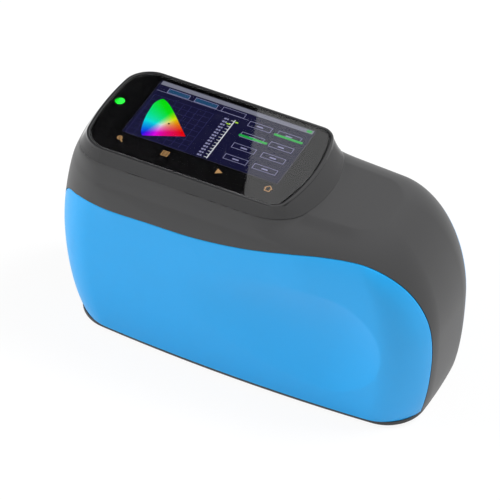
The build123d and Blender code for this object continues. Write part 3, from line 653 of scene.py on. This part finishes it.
def round_rays(left, right, half, run=44, turn=40):
    """Starts and directions of rays round a rectangle: runs along its sides, quarter turns at its corners."""
    corners = np.array([(right, -half), (right, half), (left, half), (left, -half)], float)
    starts, ways = [], []
    for i, corner in enumerate(corners):
        angle = np.linspace(-90 + 90 * i, 90 * i, turn, endpoint=False)
        starts.append(np.repeat(corner[None], turn, axis=0))
        following = corners[(i + 1) % 4]
        share = np.linspace(0, 1, run, endpoint=False)[:, None]
        starts.append(corner + (following - corner) * share)
        ways.append(np.concatenate([angle, np.full(run, 90.0 * i)]))
    turned = np.radians(np.concatenate(ways))
    return np.concatenate(starts), np.stack([np.cos(turned), np.sin(turned)], axis=-1)


def outline_points(distance, starts, ways):
    """Where the rays meet an outline, by halving an interval again and again."""
    near, far = np.zeros(len(starts)), np.full(len(starts), FARTHEST)
    for _ in range(HALVINGS - 2):
        middle = (near + far) / 2
        inside = distance(*(starts + ways * middle[:, None]).T) < 0
        near, far = np.where(inside, middle, near), np.where(inside, far, middle)
    return starts + ways * near[:, None]


def tray_line(left, right, half, bow_left, bow_right, corner_left, corner_right):
    """A display outline as points: a bowed rectangle with other corners at one end than at the other."""

    def distance(x, y):
        """Distance from the outline, with the corner size of the end that x is nearer to."""
        corner = np.where(x < 0, corner_left, corner_right)
        return outline_distance(x, y, left, right, half, STRAIGHT, bow_left, bow_right, corner)

    return outline_points(distance, starts, ways)


starts, ways = round_rays(-66.0, 12.0, 16.0)
inward = -ways
seam_line = tray_line(86.0, 35.0, 31.7, 5.0, 11.0, 12.0, 11.0)
lip_line = tray_line(82.0, 26.4, 29.6, 3.4, 5.0, 11.0, 5.0)
glass_line = tray_line(80.5, 24.9, 28.15, 3.4, 5.0, 10.0, 4.0)
lengths = [round(float(np.ptp(line[:, 0])), 1) for line in (seam_line, lip_line, glass_line)]
print("seam, lip and glass are", lengths, "mm long")

# %% The tray
LEDGE_Z, GLASS_TOP = box_mm("display_glass")[0][2], box_mm("display_glass")[1][2]
EDGE_R = 0.8
quarter = np.radians(np.linspace(0, 90, 9))


def tray_rows():
    """The tray's closed profile: rows of (share of the way from seam to lip, inset past the lip, height)."""
    slope_top = 1 - EDGE_R / (LIP_Z - SEAM_Z)
    rows = [(0.0, 0.0, SEAM_Z + 0.12), (0.015, 0.0, SEAM_Z + 0.3)]
    rows += [(s, 0.0, SEAM_Z + s * (LIP_Z - SEAM_Z)) for s in np.linspace(0.1, slope_top, 8)]
    rows += [
        (slope_top + (1 - slope_top) * (1 - math.cos(t)), 0.0, LIP_Z - EDGE_R * (1 - math.sin(t)))
        for t in quarter[1:]
    ]
    rows += [(1.0, 0.9, LIP_Z), (1.0, 1.2, LIP_Z - 0.08), (1.0, 1.35, LIP_Z - 0.4), (1.0, 1.35, LEDGE_Z)]
    rows += [(1.0, 4.6, LEDGE_Z), (1.0, 4.6, SEAM_Z + 1.2), (0.1, 0.0, SEAM_Z + 0.12)]
    return np.array(rows)


slope, inset, height = tray_rows().T[:, :, None, None]
tray_plan = (1 - slope) * seam_line[None] + slope * lip_line[None] + inset * inward[None]
tray = np.concatenate([tray_plan, np.broadcast_to(height, (*tray_plan.shape[:2], 1))], axis=-1)
tray = np.concatenate([tray, tray[:1]])
bezel = add_piece(
    "display_tray", tray, grid_faces(len(tray), tray.shape[1], closed=True), gloss_finish, slot="bezel"
)
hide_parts("display_frame")
print("tray:", tray.shape[0] * tray.shape[1], "points")

# %% [markdown]
# ## The cover glass and what is printed on it
# The glass is a clear slab. Its underside is printed black, except for a window over the screen and a dot
# over the light pipe. One glossy black slab with a picture on top would look alike from the front, but glass
# and print are separate pieces here as well, so that the glass keeps its own reflection and the print below
# it stays deep black.

# %% The glass slab
def loop_slab(line, low, high, edge):
    """A slab over an outline: its wall with a rounded top edge, then rings that shrink to the middle."""
    rows = [(0.0, low + edge), (0.0, high - edge)]
    rows += [(edge * (1 - math.cos(t)), high - edge * (1 - math.sin(t))) for t in quarter[1:]]
    wall = [np.column_stack([line + inward * inset, np.full(len(line), z)]) for inset, z in rows]

    def ring(outer, share, z):
        """The outline shrunk toward the middle to a share of its size, at height z."""
        return np.column_stack([MIDDLE + (outer - MIDDLE) * share, np.full(len(outer), z)])

    shares = [0.995, 0.6, 0.2, 0.0]
    top = [ring(wall[-1][:, :2], share, high) for share in shares]
    bottom = [ring(line, share, low) for share in shares[::-1]]
    return np.stack(bottom + wall + top)


glass_finish = finish("cover glass", (0.97, 0.97, 0.97, 1), 0.02, bump=0.0, spread=0.015, tint=0.01, wear=0.0)
for label, value in (("Transmission Weight", 1.0), ("IOR", 1.4)):
    glass_finish.node_tree.nodes["Principled BSDF"].inputs[label].default_value = value
slab = loop_slab(glass_line, LEDGE_Z + 0.3, GLASS_TOP, 0.25)
glass = add_piece(
    "cover_glass", slab, grid_faces(len(slab), slab.shape[1], closed=True), glass_finish, slot="cover_glass",
    smooth=False,
)
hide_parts("display_glass")
print("glass", round(float(np.ptp(slab[..., 2])), 2), "mm thick")

# %% The black print
SCREEN_LEFT, SCREEN_FAR = -65.4, 25.6
SCREEN_WIDE, SCREEN_DEEP = 78.6, 38.8
WINDOW_R = 0.4
PRINT_Z, PRINT_INSET = LEDGE_Z + 0.2, 0.15
print_finish = finish(
    "black print", (0.004, 0.004, 0.0045, 1), 0.4, bump=0.0, tint=0.05, wear=0.0, Specular_IOR_Level=0.0
)
pipe_low, pipe_high = box_mm("status_light_pipe")
pipe_at, pipe_r = (pipe_low + pipe_high)[:2] / 2, (pipe_high - pipe_low)[0] / 2


def print_openings(points):
    """Distance from the nearer of the print's openings: a rounded window and a round dot."""
    away = np.abs(points[:, :2] - [SCREEN_LEFT + SCREEN_WIDE / 2, SCREEN_FAR - SCREEN_DEEP / 2])
    away -= [SCREEN_WIDE / 2 + WINDOW_R, SCREEN_DEEP / 2 + WINDOW_R]
    window = np.hypot(*np.maximum(away, 0).T) + np.minimum(away.max(axis=1), 0) - WINDOW_R
    return np.minimum(window, np.hypot(*(points[:, :2] - pipe_at).T) - pipe_r)


core = starts * 0.92
print_edge = glass_line + inward * PRINT_INSET
sheet = np.concatenate([
    core + (print_edge - core) * np.linspace(1, 0, 90)[:, None, None],
    MIDDLE + (core - MIDDLE) * np.linspace(1, 0, 60)[1:, None, None],
])
sheet = np.concatenate([sheet, np.full((*sheet.shape[:2], 1), PRINT_Z)], axis=-1)
printed = cut_opening(sheet, grid_faces(len(sheet), sheet.shape[1], closed=True), print_openings)
add_piece("glass_print", *printed, print_finish, slot="cover_glass", smooth=False)
print("screen window", SCREEN_WIDE, "x", SCREEN_DEEP, "mm")

# %% [markdown]
# ## The picture on the screen
# The screen shows a measurement: a colour diagram, a scale and a few fields. An image would do for it, but
# this part has no image files, and shapes stay sharp at any size. They are thin flat pieces just over the
# screen, one piece for each colour, placed in millimetres from the screen's far left corner. The horseshoe of
# the colour diagram is real physics, so its outline is the published line of pure spectral colours, and its
# colours come from the formula that turns chromaticities into red, green and blue.

# %% Light and places on the screen
def lit(name, colour, strength=1.0):
    """A screen colour: a faint fine pattern of picture cells over a plain glow; on the tan print, painted glow.
    """
    material = bpy.data.materials.new(name)
    material.use_nodes = True
    tree = material.node_tree
    shader = tree.nodes["Principled BSDF"]
    cells = add_group(tree, grain_group, Scale=5200.0, Roughness=0.35, Spread=0.02)
    dim = tree.nodes.new("ShaderNodeMix")
    dim.data_type = "RGBA"
    dim.inputs["A"].default_value = tuple(c * 0.86 for c in colour[:3]) + (1.0,)
    dim.inputs["B"].default_value = colour
    join(
        tree,
        (cells.outputs["Height"], dim.inputs["Factor"]),
        (dim.outputs["Result"], shader.inputs["Emission Color"]),
        (cells.outputs["Roughness"], shader.inputs["Roughness"]),
    )
    shader.inputs["Base Color"].default_value = (0.004, 0.004, 0.005, 1.0)
    shader.inputs["Emission Strength"].default_value = strength
    shader.inputs["Specular IOR Level"].default_value = 0.0
    return material


def on_screen(across, down, lift):
    """Screen millimetres to the frame's: across runs to +X, down runs to -Y."""
    level = np.full(np.shape(across), LEDGE_Z + lift)
    return np.stack([SCREEN_LEFT + across, SCREEN_FAR - down, level], axis=-1)


def bars(name, boxes, material, lift=0.06):
    """Rectangles as one flat piece; each row of boxes is (left, right, top, bottom) in screen millimetres."""
    b = np.asarray(boxes, float)
    across, down = b[:, [0, 1, 1, 0]].ravel(), b[:, [3, 3, 2, 2]].ravel()
    corners = on_screen(across, down, lift)
    return add_piece(
        name, corners, np.arange(len(corners)).reshape(-1, 4), material, slot="screen", smooth=False
    )


def outlined(boxes, line):
    """The four thin bars round each box, over the box's own edges."""
    l, r, t, b = np.asarray(boxes, float).T
    sides = [(l, r, t, t + line), (l, r, b - line, b), (l, l + line, t, b), (r - line, r, t, b)]
    return np.concatenate([np.stack(side, axis=-1) for side in sides])


def rows_of(left, right, top, bottom):
    """Boxes from four edges, each a number or a list of numbers."""
    return np.stack(np.broadcast_arrays(*map(np.asarray, (left, right, top, bottom))), axis=-1).astype(float)


screen_blue = lit("screen navy", srgb(17, 17, 52))
screen_line = lit("screen line", srgb(150, 150, 190))
screen_grid = lit("screen grid", srgb(52, 50, 104))
screen_bar = lit("screen bar", srgb(128, 130, 146))
screen_tab = lit("screen tab", srgb(30, 74, 112))
screen_green = lit("screen green", srgb(30, 180, 70))
screen_white = lit("screen white", srgb(225, 228, 235))
screen_lime = lit("screen pointer", srgb(170, 220, 60))
print("an outlined box has", len(outlined([(0, 1, 0, 1)], 0.1)), "bars")

# %% The bar, the tabs and the fields of the screen
bars("screen_ground", [(-0.4, SCREEN_WIDE + 0.4, -0.4, SCREEN_DEEP + 0.4)], screen_blue, 0.03)
bars("screen_status_bar", [(0.2, SCREEN_WIDE - 0.2, -0.3, 2.3)], screen_bar)
bars("screen_battery", [(SCREEN_WIDE - 3.4, SCREEN_WIDE - 0.9, 0.2, 1.8)], screen_green, 0.08)
TABS = np.array([(5.4, 16.6, 3.3, 6.3), (19.4, 31.0, 3.3, 6.3), (33.6, 45.4, 3.3, 6.6)])
TAB_LINE = (0.4, 48.0, 6.5, 6.7)
bars("screen_tabs", TABS[:2], screen_tab)
bars("screen_tab_lines", np.concatenate([outlined(TABS, 0.22), [TAB_LINE]]), screen_line, 0.08)
FIELD_TOPS = np.array([6.6, 14.8, 23.0, 31.4])
FIELD_HIGH = 3.6
FIELD_COLUMNS = ((49.0, 60.6), (63.8, 75.6))
fields = np.concatenate([rows_of(a, b, FIELD_TOPS, FIELD_TOPS + FIELD_HIGH) for a, b in FIELD_COLUMNS])
bars("screen_fields", outlined(fields, 0.25), screen_line, 0.08)
bars("screen_green_bars", [(62.7, 77.2, 9.1, 10.5), (48.5, 62.8, 16.6, 18.0)], screen_green, 0.1)
dashes = rows_of(fields[:, 0] + 4.2, fields[:, 0] + 7.4, fields[:, 2] + 1.5, fields[:, 2] + 2.3)
bars("screen_dashes", dashes, screen_line, 0.09)
print(len(TABS), "tabs and", len(fields), "fields")

# %% The grid and the scale
GRID_AT, GRID_LINE = (1.0, 9.8), 0.18
steps = np.arange(0.0, 32.0, 3.6)
down, across_grid = GRID_AT[1] + steps, GRID_AT[0] + steps * 1.06
grid_lines = np.concatenate([
    rows_of(GRID_AT[0], 31.5, down, down + GRID_LINE),
    rows_of(across_grid, across_grid + GRID_LINE, GRID_AT[1], 38.0),
])
bars("screen_grid", grid_lines, screen_grid, 0.05)
ticks = np.linspace(10.2, 37.6, 14)
scale = np.concatenate([[(42.3, 42.8, 9.2, 38.4)], rows_of(40.9, 42.4, ticks, ticks + 0.3)])
bars("screen_scale", scale, screen_white, 0.08)
MARK_COLUMNS = ((37.4, 38.5), (38.8, 39.6))
marks = np.concatenate([rows_of(left, right, ticks - 0.4, ticks + 0.6) for left, right in MARK_COLUMNS])
bars("screen_scale_marks", marks, screen_line, 0.08)
bars("screen_pointer", [(43.0, 44.6, 10.1, 11.0), (39.8, 41.8, 12.6, 13.4)], screen_lime, 0.1)
print(len(grid_lines), "grid lines and", len(ticks), "ticks")

# %% The colour diagram
SPECTRUM = [
    (0.174, 0.005), (0.144, 0.030), (0.124, 0.058), (0.091, 0.133), (0.045, 0.295), (0.008, 0.538),
    (0.014, 0.750), (0.074, 0.834), (0.155, 0.806), (0.230, 0.754), (0.302, 0.692), (0.373, 0.625),
    (0.444, 0.555), (0.513, 0.487), (0.575, 0.424), (0.627, 0.373), (0.692, 0.308), (0.735, 0.265),
]
WHITE_AT = np.array([0.333, 0.333])
DIAGRAM_AT, DIAGRAM_SIZE = (3.7, 38.0), 32.0
SPAN = 31
spectral = smooth_curve(np.column_stack([SPECTRUM, np.zeros(len(SPECTRUM))]), 90)[:, :2]
border = np.concatenate([spectral, np.linspace(spectral[-1], spectral[0], SPAN)[1:-1]])
chroma = WHITE_AT + (border - WHITE_AT)[None] * np.linspace(0, 1, SPAN + 1)[:, None, None]
TO_SCREEN = np.array([(3.241, -1.537, -0.499), (-0.969, 1.876, 0.042), (0.056, -0.204, 1.057)])


def chroma_colours(x, y):
    """Screen colour of a chromaticity: X = x/y, Y = 1, Z = (1-x-y)/y, turned to red, green and blue."""
    y = np.maximum(y, 0.004)
    light = np.stack([x / y, np.ones_like(x), (1 - x - y) / y], axis=-1)
    colour = np.clip(light @ TO_SCREEN.T, 0, None)
    return (colour / colour.max(axis=-1, keepdims=True)) ** 1.25


diagram_points = on_screen(
    DIAGRAM_AT[0] + DIAGRAM_SIZE * chroma[..., 0], DIAGRAM_AT[1] - DIAGRAM_SIZE * chroma[..., 1], 0.1
)
diagram_finish = lit("screen diagram", (1, 1, 1, 1), 0.8)
diagram = add_piece(
    "screen_diagram", diagram_points, grid_faces(*chroma.shape[:2], closed=True), diagram_finish,
    slot="screen", smooth=False,
)
print("diagram:", len(diagram.data.vertices), "points")

# %% The colours of the diagram
corners = np.empty(3 * len(diagram.data.vertices))
diagram.data.vertices.foreach_get("co", corners)
corners = corners.reshape(-1, 3) / MM
diagram_x = (corners[:, 0] - SCREEN_LEFT - DIAGRAM_AT[0]) / DIAGRAM_SIZE
diagram_y = (DIAGRAM_AT[1] - SCREEN_FAR + corners[:, 1]) / DIAGRAM_SIZE
colour = chroma_colours(diagram_x, diagram_y)
layer = diagram.data.color_attributes.new("spectrum", "FLOAT_COLOR", "POINT")
layer.data.foreach_set("color", np.column_stack([colour, np.ones(len(colour))]).ravel())
diagram_tree = diagram_finish.node_tree
spectrum = diagram_tree.nodes.new("ShaderNodeAttribute")
spectrum.attribute_name = "spectrum"
dimmer = [node for node in diagram_tree.nodes if node.bl_idname == "ShaderNodeMix"][0]
join(diagram_tree, *[(spectrum.outputs["Color"], dimmer.inputs[end]) for end in ("A", "B")])
bars("screen_sample_dot", [(15.9, 16.8, 24.8, 25.7)], print_finish, 0.12)
print("colour at white:", np.round(chroma_colours(*WHITE_AT[:, None]), 2).tolist())

# %% [markdown]
# ## The four touch symbols
# Beside the screen, four symbols are printed in a warm tan: a lens with its handle, a list, a triangle and a
# house. They could be text characters, but those differ from font to font. Here they are rings and strokes of
# a few flat faces on the glass's underside. Their tan is painted glow: the print gives off its own colour as
# light, where real ink would only be lit.

# %% Strokes and rings
# The tan print glows by its own light at emission strength 1: painted glow in place of lit ink.
tan_print_glow = lit("tan print glowing", srgb(196, 152, 98))
SYMBOL_Z = 0.24


def stroke_loop(centre, radii, turns, line, count=24):
    """Two rings round a centre, joined by faces: a ring of that line width, or with few points a frame."""
    angle = np.linspace(0, 2 * np.pi, count, endpoint=False) + turns
    ring = np.stack([np.cos(angle), np.sin(angle)], axis=-1) * radii
    both = np.stack([ring, ring * (1 - line / np.mean(radii))])
    return on_screen(centre[0] + both[..., 0], centre[1] + both[..., 1], SYMBOL_Z), count


def add_symbol(name, *shapes):
    """One printed symbol from several point grids of two rows each."""
    counts = [count for _, count in shapes]
    first = 2 * np.cumsum([0] + counts[:-1])
    faces = [grid_faces(2, count, closed=True) + start for count, start in zip(counts, first)]
    corners = np.concatenate([grid.reshape(-1, 3) for grid, _ in shapes])
    return add_piece(name, corners, np.concatenate(faces), tan_print_glow, slot="touch_strip", smooth=False)


def stroke(a, b, line):
    """A straight stroke from a to b as a closed two-row grid."""
    a, b = np.array(a, float), np.array(b, float)
    side = np.array([-(b - a)[1], (b - a)[0]]) / np.linalg.norm(b - a) * line / 2
    box = np.array([[a + side, b + side, b - side, a - side]])
    inner = np.repeat(box.mean(axis=1, keepdims=True), 4, axis=1)
    both = np.concatenate([box, inner])
    return on_screen(both[..., 0], both[..., 1], SYMBOL_Z), 4


def strokes(down, line, *ends):
    """Several strokes of one width; each of ends is (across, down, across, down) from a symbol's level."""
    return [stroke((a, down + b), (c, down + d), line) for a, b, c, d in ends]


# %% The symbols
SYMBOLS_DOWN = 44.2
add_symbol(
    "symbol_lens", stroke_loop((0.8, SYMBOLS_DOWN - 0.3), (1.3, 1.3), 0.0, 0.5),
    *strokes(SYMBOLS_DOWN, 0.6, (1.8, 0.6, 3.0, 1.8)), *strokes(SYMBOLS_DOWN, 0.4, (0.1, -0.3, 1.5, -0.3)),
)
add_symbol(
    "symbol_list", stroke_loop((24.4, SYMBOLS_DOWN), (2.4, 2.4), math.pi / 4, 0.5, 4),
    *strokes(SYMBOLS_DOWN, 0.4, *[(23.3, d, 25.6, d) for d in (-0.8, 0.0, 0.8)]),
)
add_symbol("symbol_play", stroke_loop((51.6, SYMBOLS_DOWN), (2.1, 2.1), 0.0, 2.0, 3))
add_symbol("symbol_home", *strokes(
    SYMBOLS_DOWN, 0.45,
    (75.0, 0.0, 76.9, -2.0), (76.9, -2.0, 78.8, 0.0), (75.7, -0.3, 75.7, 1.7), (78.1, -0.3, 78.1, 1.7),
    (75.5, 1.7, 78.3, 1.7),
))

# %% [markdown]
# ## Finishes of the CAD pieces
# The pieces that keep their CAD mesh only need a finish. Each one could have its own material, but pieces of
# one stuff should match, so each material stands for what a piece is made of: anodised metal, plated steel,
# solder mask, clear plastic and so on. All of them draw on the two shared groups, with their own grain size,
# because a turned barrel and a moulded carrier wear the same hands' marks differently.

# %% Finishes by what a piece is made of
black_metal = finish("black anodised", (0.030, 0.030, 0.033, 1), 0.38, scale=4200.0, wear=0.7, Metallic=1.0)
turned_metal = finish("turned barrel", (0.10, 0.10, 0.105, 1), 0.30, scale=900.0, wear=0.6, Metallic=1.0)
screw_metal = finish("black oxide screw", (0.16, 0.16, 0.165, 1), 0.33, scale=1500.0, wear=0.9, Metallic=1.0)
plated = finish("plated port", (0.62, 0.62, 0.64, 1), 0.24, scale=1800.0, wear=0.2, Metallic=1.0)
rubber = finish("foot rubber", (0.016, 0.016, 0.016, 1), 0.8, scale=1300.0, bump=0.00005, wear=0.1)
mask_green = finish("solder mask", (0.010, 0.105, 0.040, 1), 0.28, scale=700.0, bump=0.00001, tint=0.25)
carrier = finish("carrier moulding", (0.11, 0.11, 0.115, 1), 0.5, wear=0.2)
sleeve = finish("cell sleeve", (0.022, 0.085, 0.36, 1), 0.25, scale=400.0, bump=0.00003)
flat_cable = finish("flat cable", (0.55, 0.26, 0.035, 1), 0.35, scale=600.0)
key_plastic = finish("key moulding", (0.028, 0.028, 0.031, 1), 0.42, scale=3000.0, wear=0.5)
switch_plastic = finish("switch moulding", (0.018, 0.018, 0.018, 1), 0.45)
plunger_plastic = finish("plunger moulding", (0.56, 0.53, 0.46, 1), 0.32)
lens_glass = finish("lens glass", (0.95, 0.97, 1.0, 1), 0.02, bump=0.0, spread=0.01, tint=0.01, wear=0.0)
for label, value in (("Transmission Weight", 1.0), ("IOR", 1.52)):
    lens_glass.node_tree.nodes["Principled BSDF"].inputs[label].default_value = value
screen_body = finish("screen body", (0.008, 0.009, 0.03, 1), 0.3)
strip_film = finish("sensor film", (0.02, 0.018, 0.015, 1), 0.3)
green_light = glow(finish("green light", (0.02, 0.65, 0.05, 1), 0.3), srgb(20, 255, 40), 1.1)
print(len(bpy.data.materials), "materials so far")

# %% Which piece has which finish
FINISHES = {
    black_metal: ("aperture_ring", "optics_arch"),
    turned_metal: ("lamp_barrel", "detector_barrels"),
    screw_metal: ("base_screws", "display_screws"),
    plated: ("usb_port",),
    rubber: ("rubber_feet",),
    mask_green: (
        "display_board", "main_board", "measure_board", "power_board", "port_board", "lamp_led_board",
        "detector_sensors",
    ),
    carrier: ("inner_frame", "battery_cradle"),
    sleeve: ("battery_cells",),
    flat_cable: ("display_cable",),
    key_plastic: ("measure_key", "power_key"),
    switch_plastic: ("measure_switch", "power_switch", "buzzer"),
    plunger_plastic: ("measure_plunger", "power_plunger"),
    lens_glass: ("lamp_lens", "detector_lenses", "dust_window"),
    screen_body: ("lcd_screen",),
    strip_film: ("touch_key_strip",),
    green_light: ("status_light_pipe",),
    base_finish: ("base_plate",),
    housing_finish: ("housing",),
    grip_finish: ("side_grip_front", "side_grip_rear"),
    gloss_finish: ("display_frame",),
    glass_finish: ("display_glass",),
}
for material, names in FINISHES.items():
    for name in names:
        mesh = bpy.data.objects[name].data
        mesh.materials.clear()
        mesh.materials.append(material)
print(sum(len(names) for names in FINISHES.values()), "nodes have a finish")

# %% [markdown]
# ## The camera
# The photograph is taken from far away, so lines that run together in the object stay nearly parallel in it.
# A plain camera close by would spread them, so a long lens stands two metres off. Its turn and rise come from
# the slant of the screen's edges, and its distance from how much longer the near edge is than the far one.

# %% Camera
CAMERA_TURN, CAMERA_RISE = math.radians(26.8), math.radians(43.3)
FRAME_PIXELS, PIXELS_PER_METRE, CAMERA_AWAY, SENSOR = 500, 2112.0, 2.0, 36.0
AIM = np.array([-0.0176, 0.0208, 0.0277])
back = np.array([
    math.sin(CAMERA_TURN) * math.cos(CAMERA_RISE), -math.cos(CAMERA_TURN) * math.cos(CAMERA_RISE),
    math.sin(CAMERA_RISE),
])
camera = bpy.data.objects.new("camera", bpy.data.cameras.new("camera"))
bpy.context.scene.collection.objects.link(camera)
bpy.context.scene.camera = camera
camera.data.sensor_width = SENSOR
camera.data.lens = CAMERA_AWAY * SENSOR / (FRAME_PIXELS / PIXELS_PER_METRE)
camera.location = AIM + back * CAMERA_AWAY
camera.rotation_euler = (math.pi / 2 - CAMERA_RISE, 0, CAMERA_TURN)
print("lens", round(camera.data.lens), "mm")

# %% [markdown]
# ## Floor, world and lamps
# A matt object shows the lamps only as shading, but the glossy display is a mirror, and it shows whatever
# stands round it. Brighter lamps could make the background white, but they would bleach the object. So the
# floor and the world are white for the camera and for reflections only, and a dark card that only reflections
# can see stands where the photograph's display shows black.

# %% White surroundings
PLAIN_WORLD, FLOOR_WHITE, FLOOR_Z = 0.32, 0.9, -0.0002


def seen_directly(tree):
    """1 for camera, glossy and transmission rays, and 0 for the rays that light the object."""
    rays = tree.nodes.new("ShaderNodeLightPath")
    mirrored = math_node(tree, "MAXIMUM", rays.outputs["Is Glossy Ray"], rays.outputs["Is Transmission Ray"])
    return math_node(tree, "MAXIMUM", rays.outputs["Is Camera Ray"], mirrored)


world = bpy.data.worlds.new("studio")
bpy.context.scene.world = world
world.use_nodes = True
sky_tree = world.node_tree
soft = sky_tree.nodes["Background"]
bright = sky_tree.nodes.new("ShaderNodeBackground")
soft.inputs["Color"].default_value = bright.inputs["Color"].default_value = (1, 1, 1, 1)
soft.inputs["Strength"].default_value = PLAIN_WORLD
bright.inputs["Strength"].default_value = 1.0
choose_sky = sky_tree.nodes.new("ShaderNodeMixShader")
join(
    sky_tree, (seen_directly(sky_tree), choose_sky.inputs[0]), (soft.outputs[0], choose_sky.inputs[1]),
    (bright.outputs[0], choose_sky.inputs[2]),
    (choose_sky.outputs[0], sky_tree.nodes["World Output"].inputs["Surface"]),
)

floor_material = bpy.data.materials.new("pale floor")
floor_material.use_nodes = True
floor_tree = floor_material.node_tree
matt = floor_tree.nodes["Principled BSDF"]
matt.inputs["Base Color"].default_value = (0.85, 0.85, 0.85, 1)
matt.inputs["Roughness"].default_value = 0.9
shine = floor_tree.nodes.new("ShaderNodeEmission")
choose_floor = floor_tree.nodes.new("ShaderNodeMixShader")
floor_share = math_node(floor_tree, "MULTIPLY", seen_directly(floor_tree), FLOOR_WHITE)
join(
    floor_tree, (floor_share, choose_floor.inputs[0]), (matt.outputs[0], choose_floor.inputs[1]),
    (shine.outputs[0], choose_floor.inputs[2]),
    (choose_floor.outputs[0], floor_tree.nodes["Material Output"].inputs["Surface"]),
)


def stage_card(name, corners, material):
    """A flat card with four corners, in metres, with one material."""
    mesh = bpy.data.meshes.new(name)
    mesh.from_pydata([tuple(map(float, c)) for c in corners], [], [(0, 1, 2, 3)])
    mesh.materials.append(material)
    card = bpy.data.objects.new(name, mesh)
    bpy.context.scene.collection.objects.link(card)
    return card


FLOOR_HALF = 8.0
floor_corners = [(x * FLOOR_HALF, y * FLOOR_HALF, FLOOR_Z) for x, y in ((-1, -1), (1, -1), (1, 1), (-1, 1))]
stage_card("floor", floor_corners, floor_material)
print("floor at", FLOOR_Z / MM, "mm")

# %% A dark card for reflections
dark = bpy.data.materials.new("dark card")
dark.use_nodes = True
dark.node_tree.nodes["Principled BSDF"].inputs["Base Color"].default_value = (0.002, 0.002, 0.002, 1)
dark.node_tree.nodes["Principled BSDF"].inputs["Roughness"].default_value = 1.0
EDGE_ON_GLASS = np.array([(-0.0208, 0.0306, 0.112), (0.0018, -0.0296, 0.112)])
CARD_AWAY, CARD_WIDE, CARD_NEAR, CARD_FAR = 0.70, 0.9, 0.6, 0.5
mirrored_back = -back * (1, 1, -1)
edge_way = (EDGE_ON_GLASS[1] - EDGE_ON_GLASS[0]) / np.linalg.norm(EDGE_ON_GLASS[1] - EDGE_ON_GLASS[0])
edge_at = EDGE_ON_GLASS.mean(axis=0) + mirrored_back * CARD_AWAY
sideways = np.array([-0.94, -0.353, 0.0]) * CARD_WIDE
card_near, card_far = edge_at - edge_way * CARD_NEAR, edge_at + edge_way * CARD_FAR
card = stage_card("card_over_screen", [card_near, card_far, card_far + sideways, card_near + sideways], dark)
card.visible_camera = card.visible_diffuse = card.visible_shadow = False
print("card edge over", np.round(edge_at, 2).tolist())

# %% Lamps
def add_lamp(name, at, energy, size, aim=(0.0, 0.0, 0.05)):
    """A soft rectangular lamp that looks at a point and isn't seen in reflections."""
    lamp = bpy.data.lights.new(name, "AREA")
    lamp.shape, lamp.energy, lamp.size, lamp.size_y = "RECTANGLE", energy, *size
    holder = bpy.data.objects.new(name, lamp)
    bpy.context.scene.collection.objects.link(holder)
    way = np.array(aim) - np.array(at)
    flat = math.hypot(way[0], way[1])
    holder.location = at
    holder.rotation_euler = (math.atan2(flat, -way[2]), 0.0, math.atan2(-way[0], way[1]))
    holder.visible_glossy = False
    return holder


add_lamp("key_lamp", (-1.15, -0.5, 1.1), 18.5, (0.5, 0.5))
add_lamp("fill_lamp", (-0.2, -1.5, 0.7), 2.0, (1.0, 1.0))
add_lamp("rim_lamp", (0.65, 0.45, 1.4), 25.0, (0.5, 0.5))
bpy.context.scene.view_settings.view_transform = "Standard"
print("lamps:", [(lamp.name, lamp.energy) for lamp in bpy.data.lights])
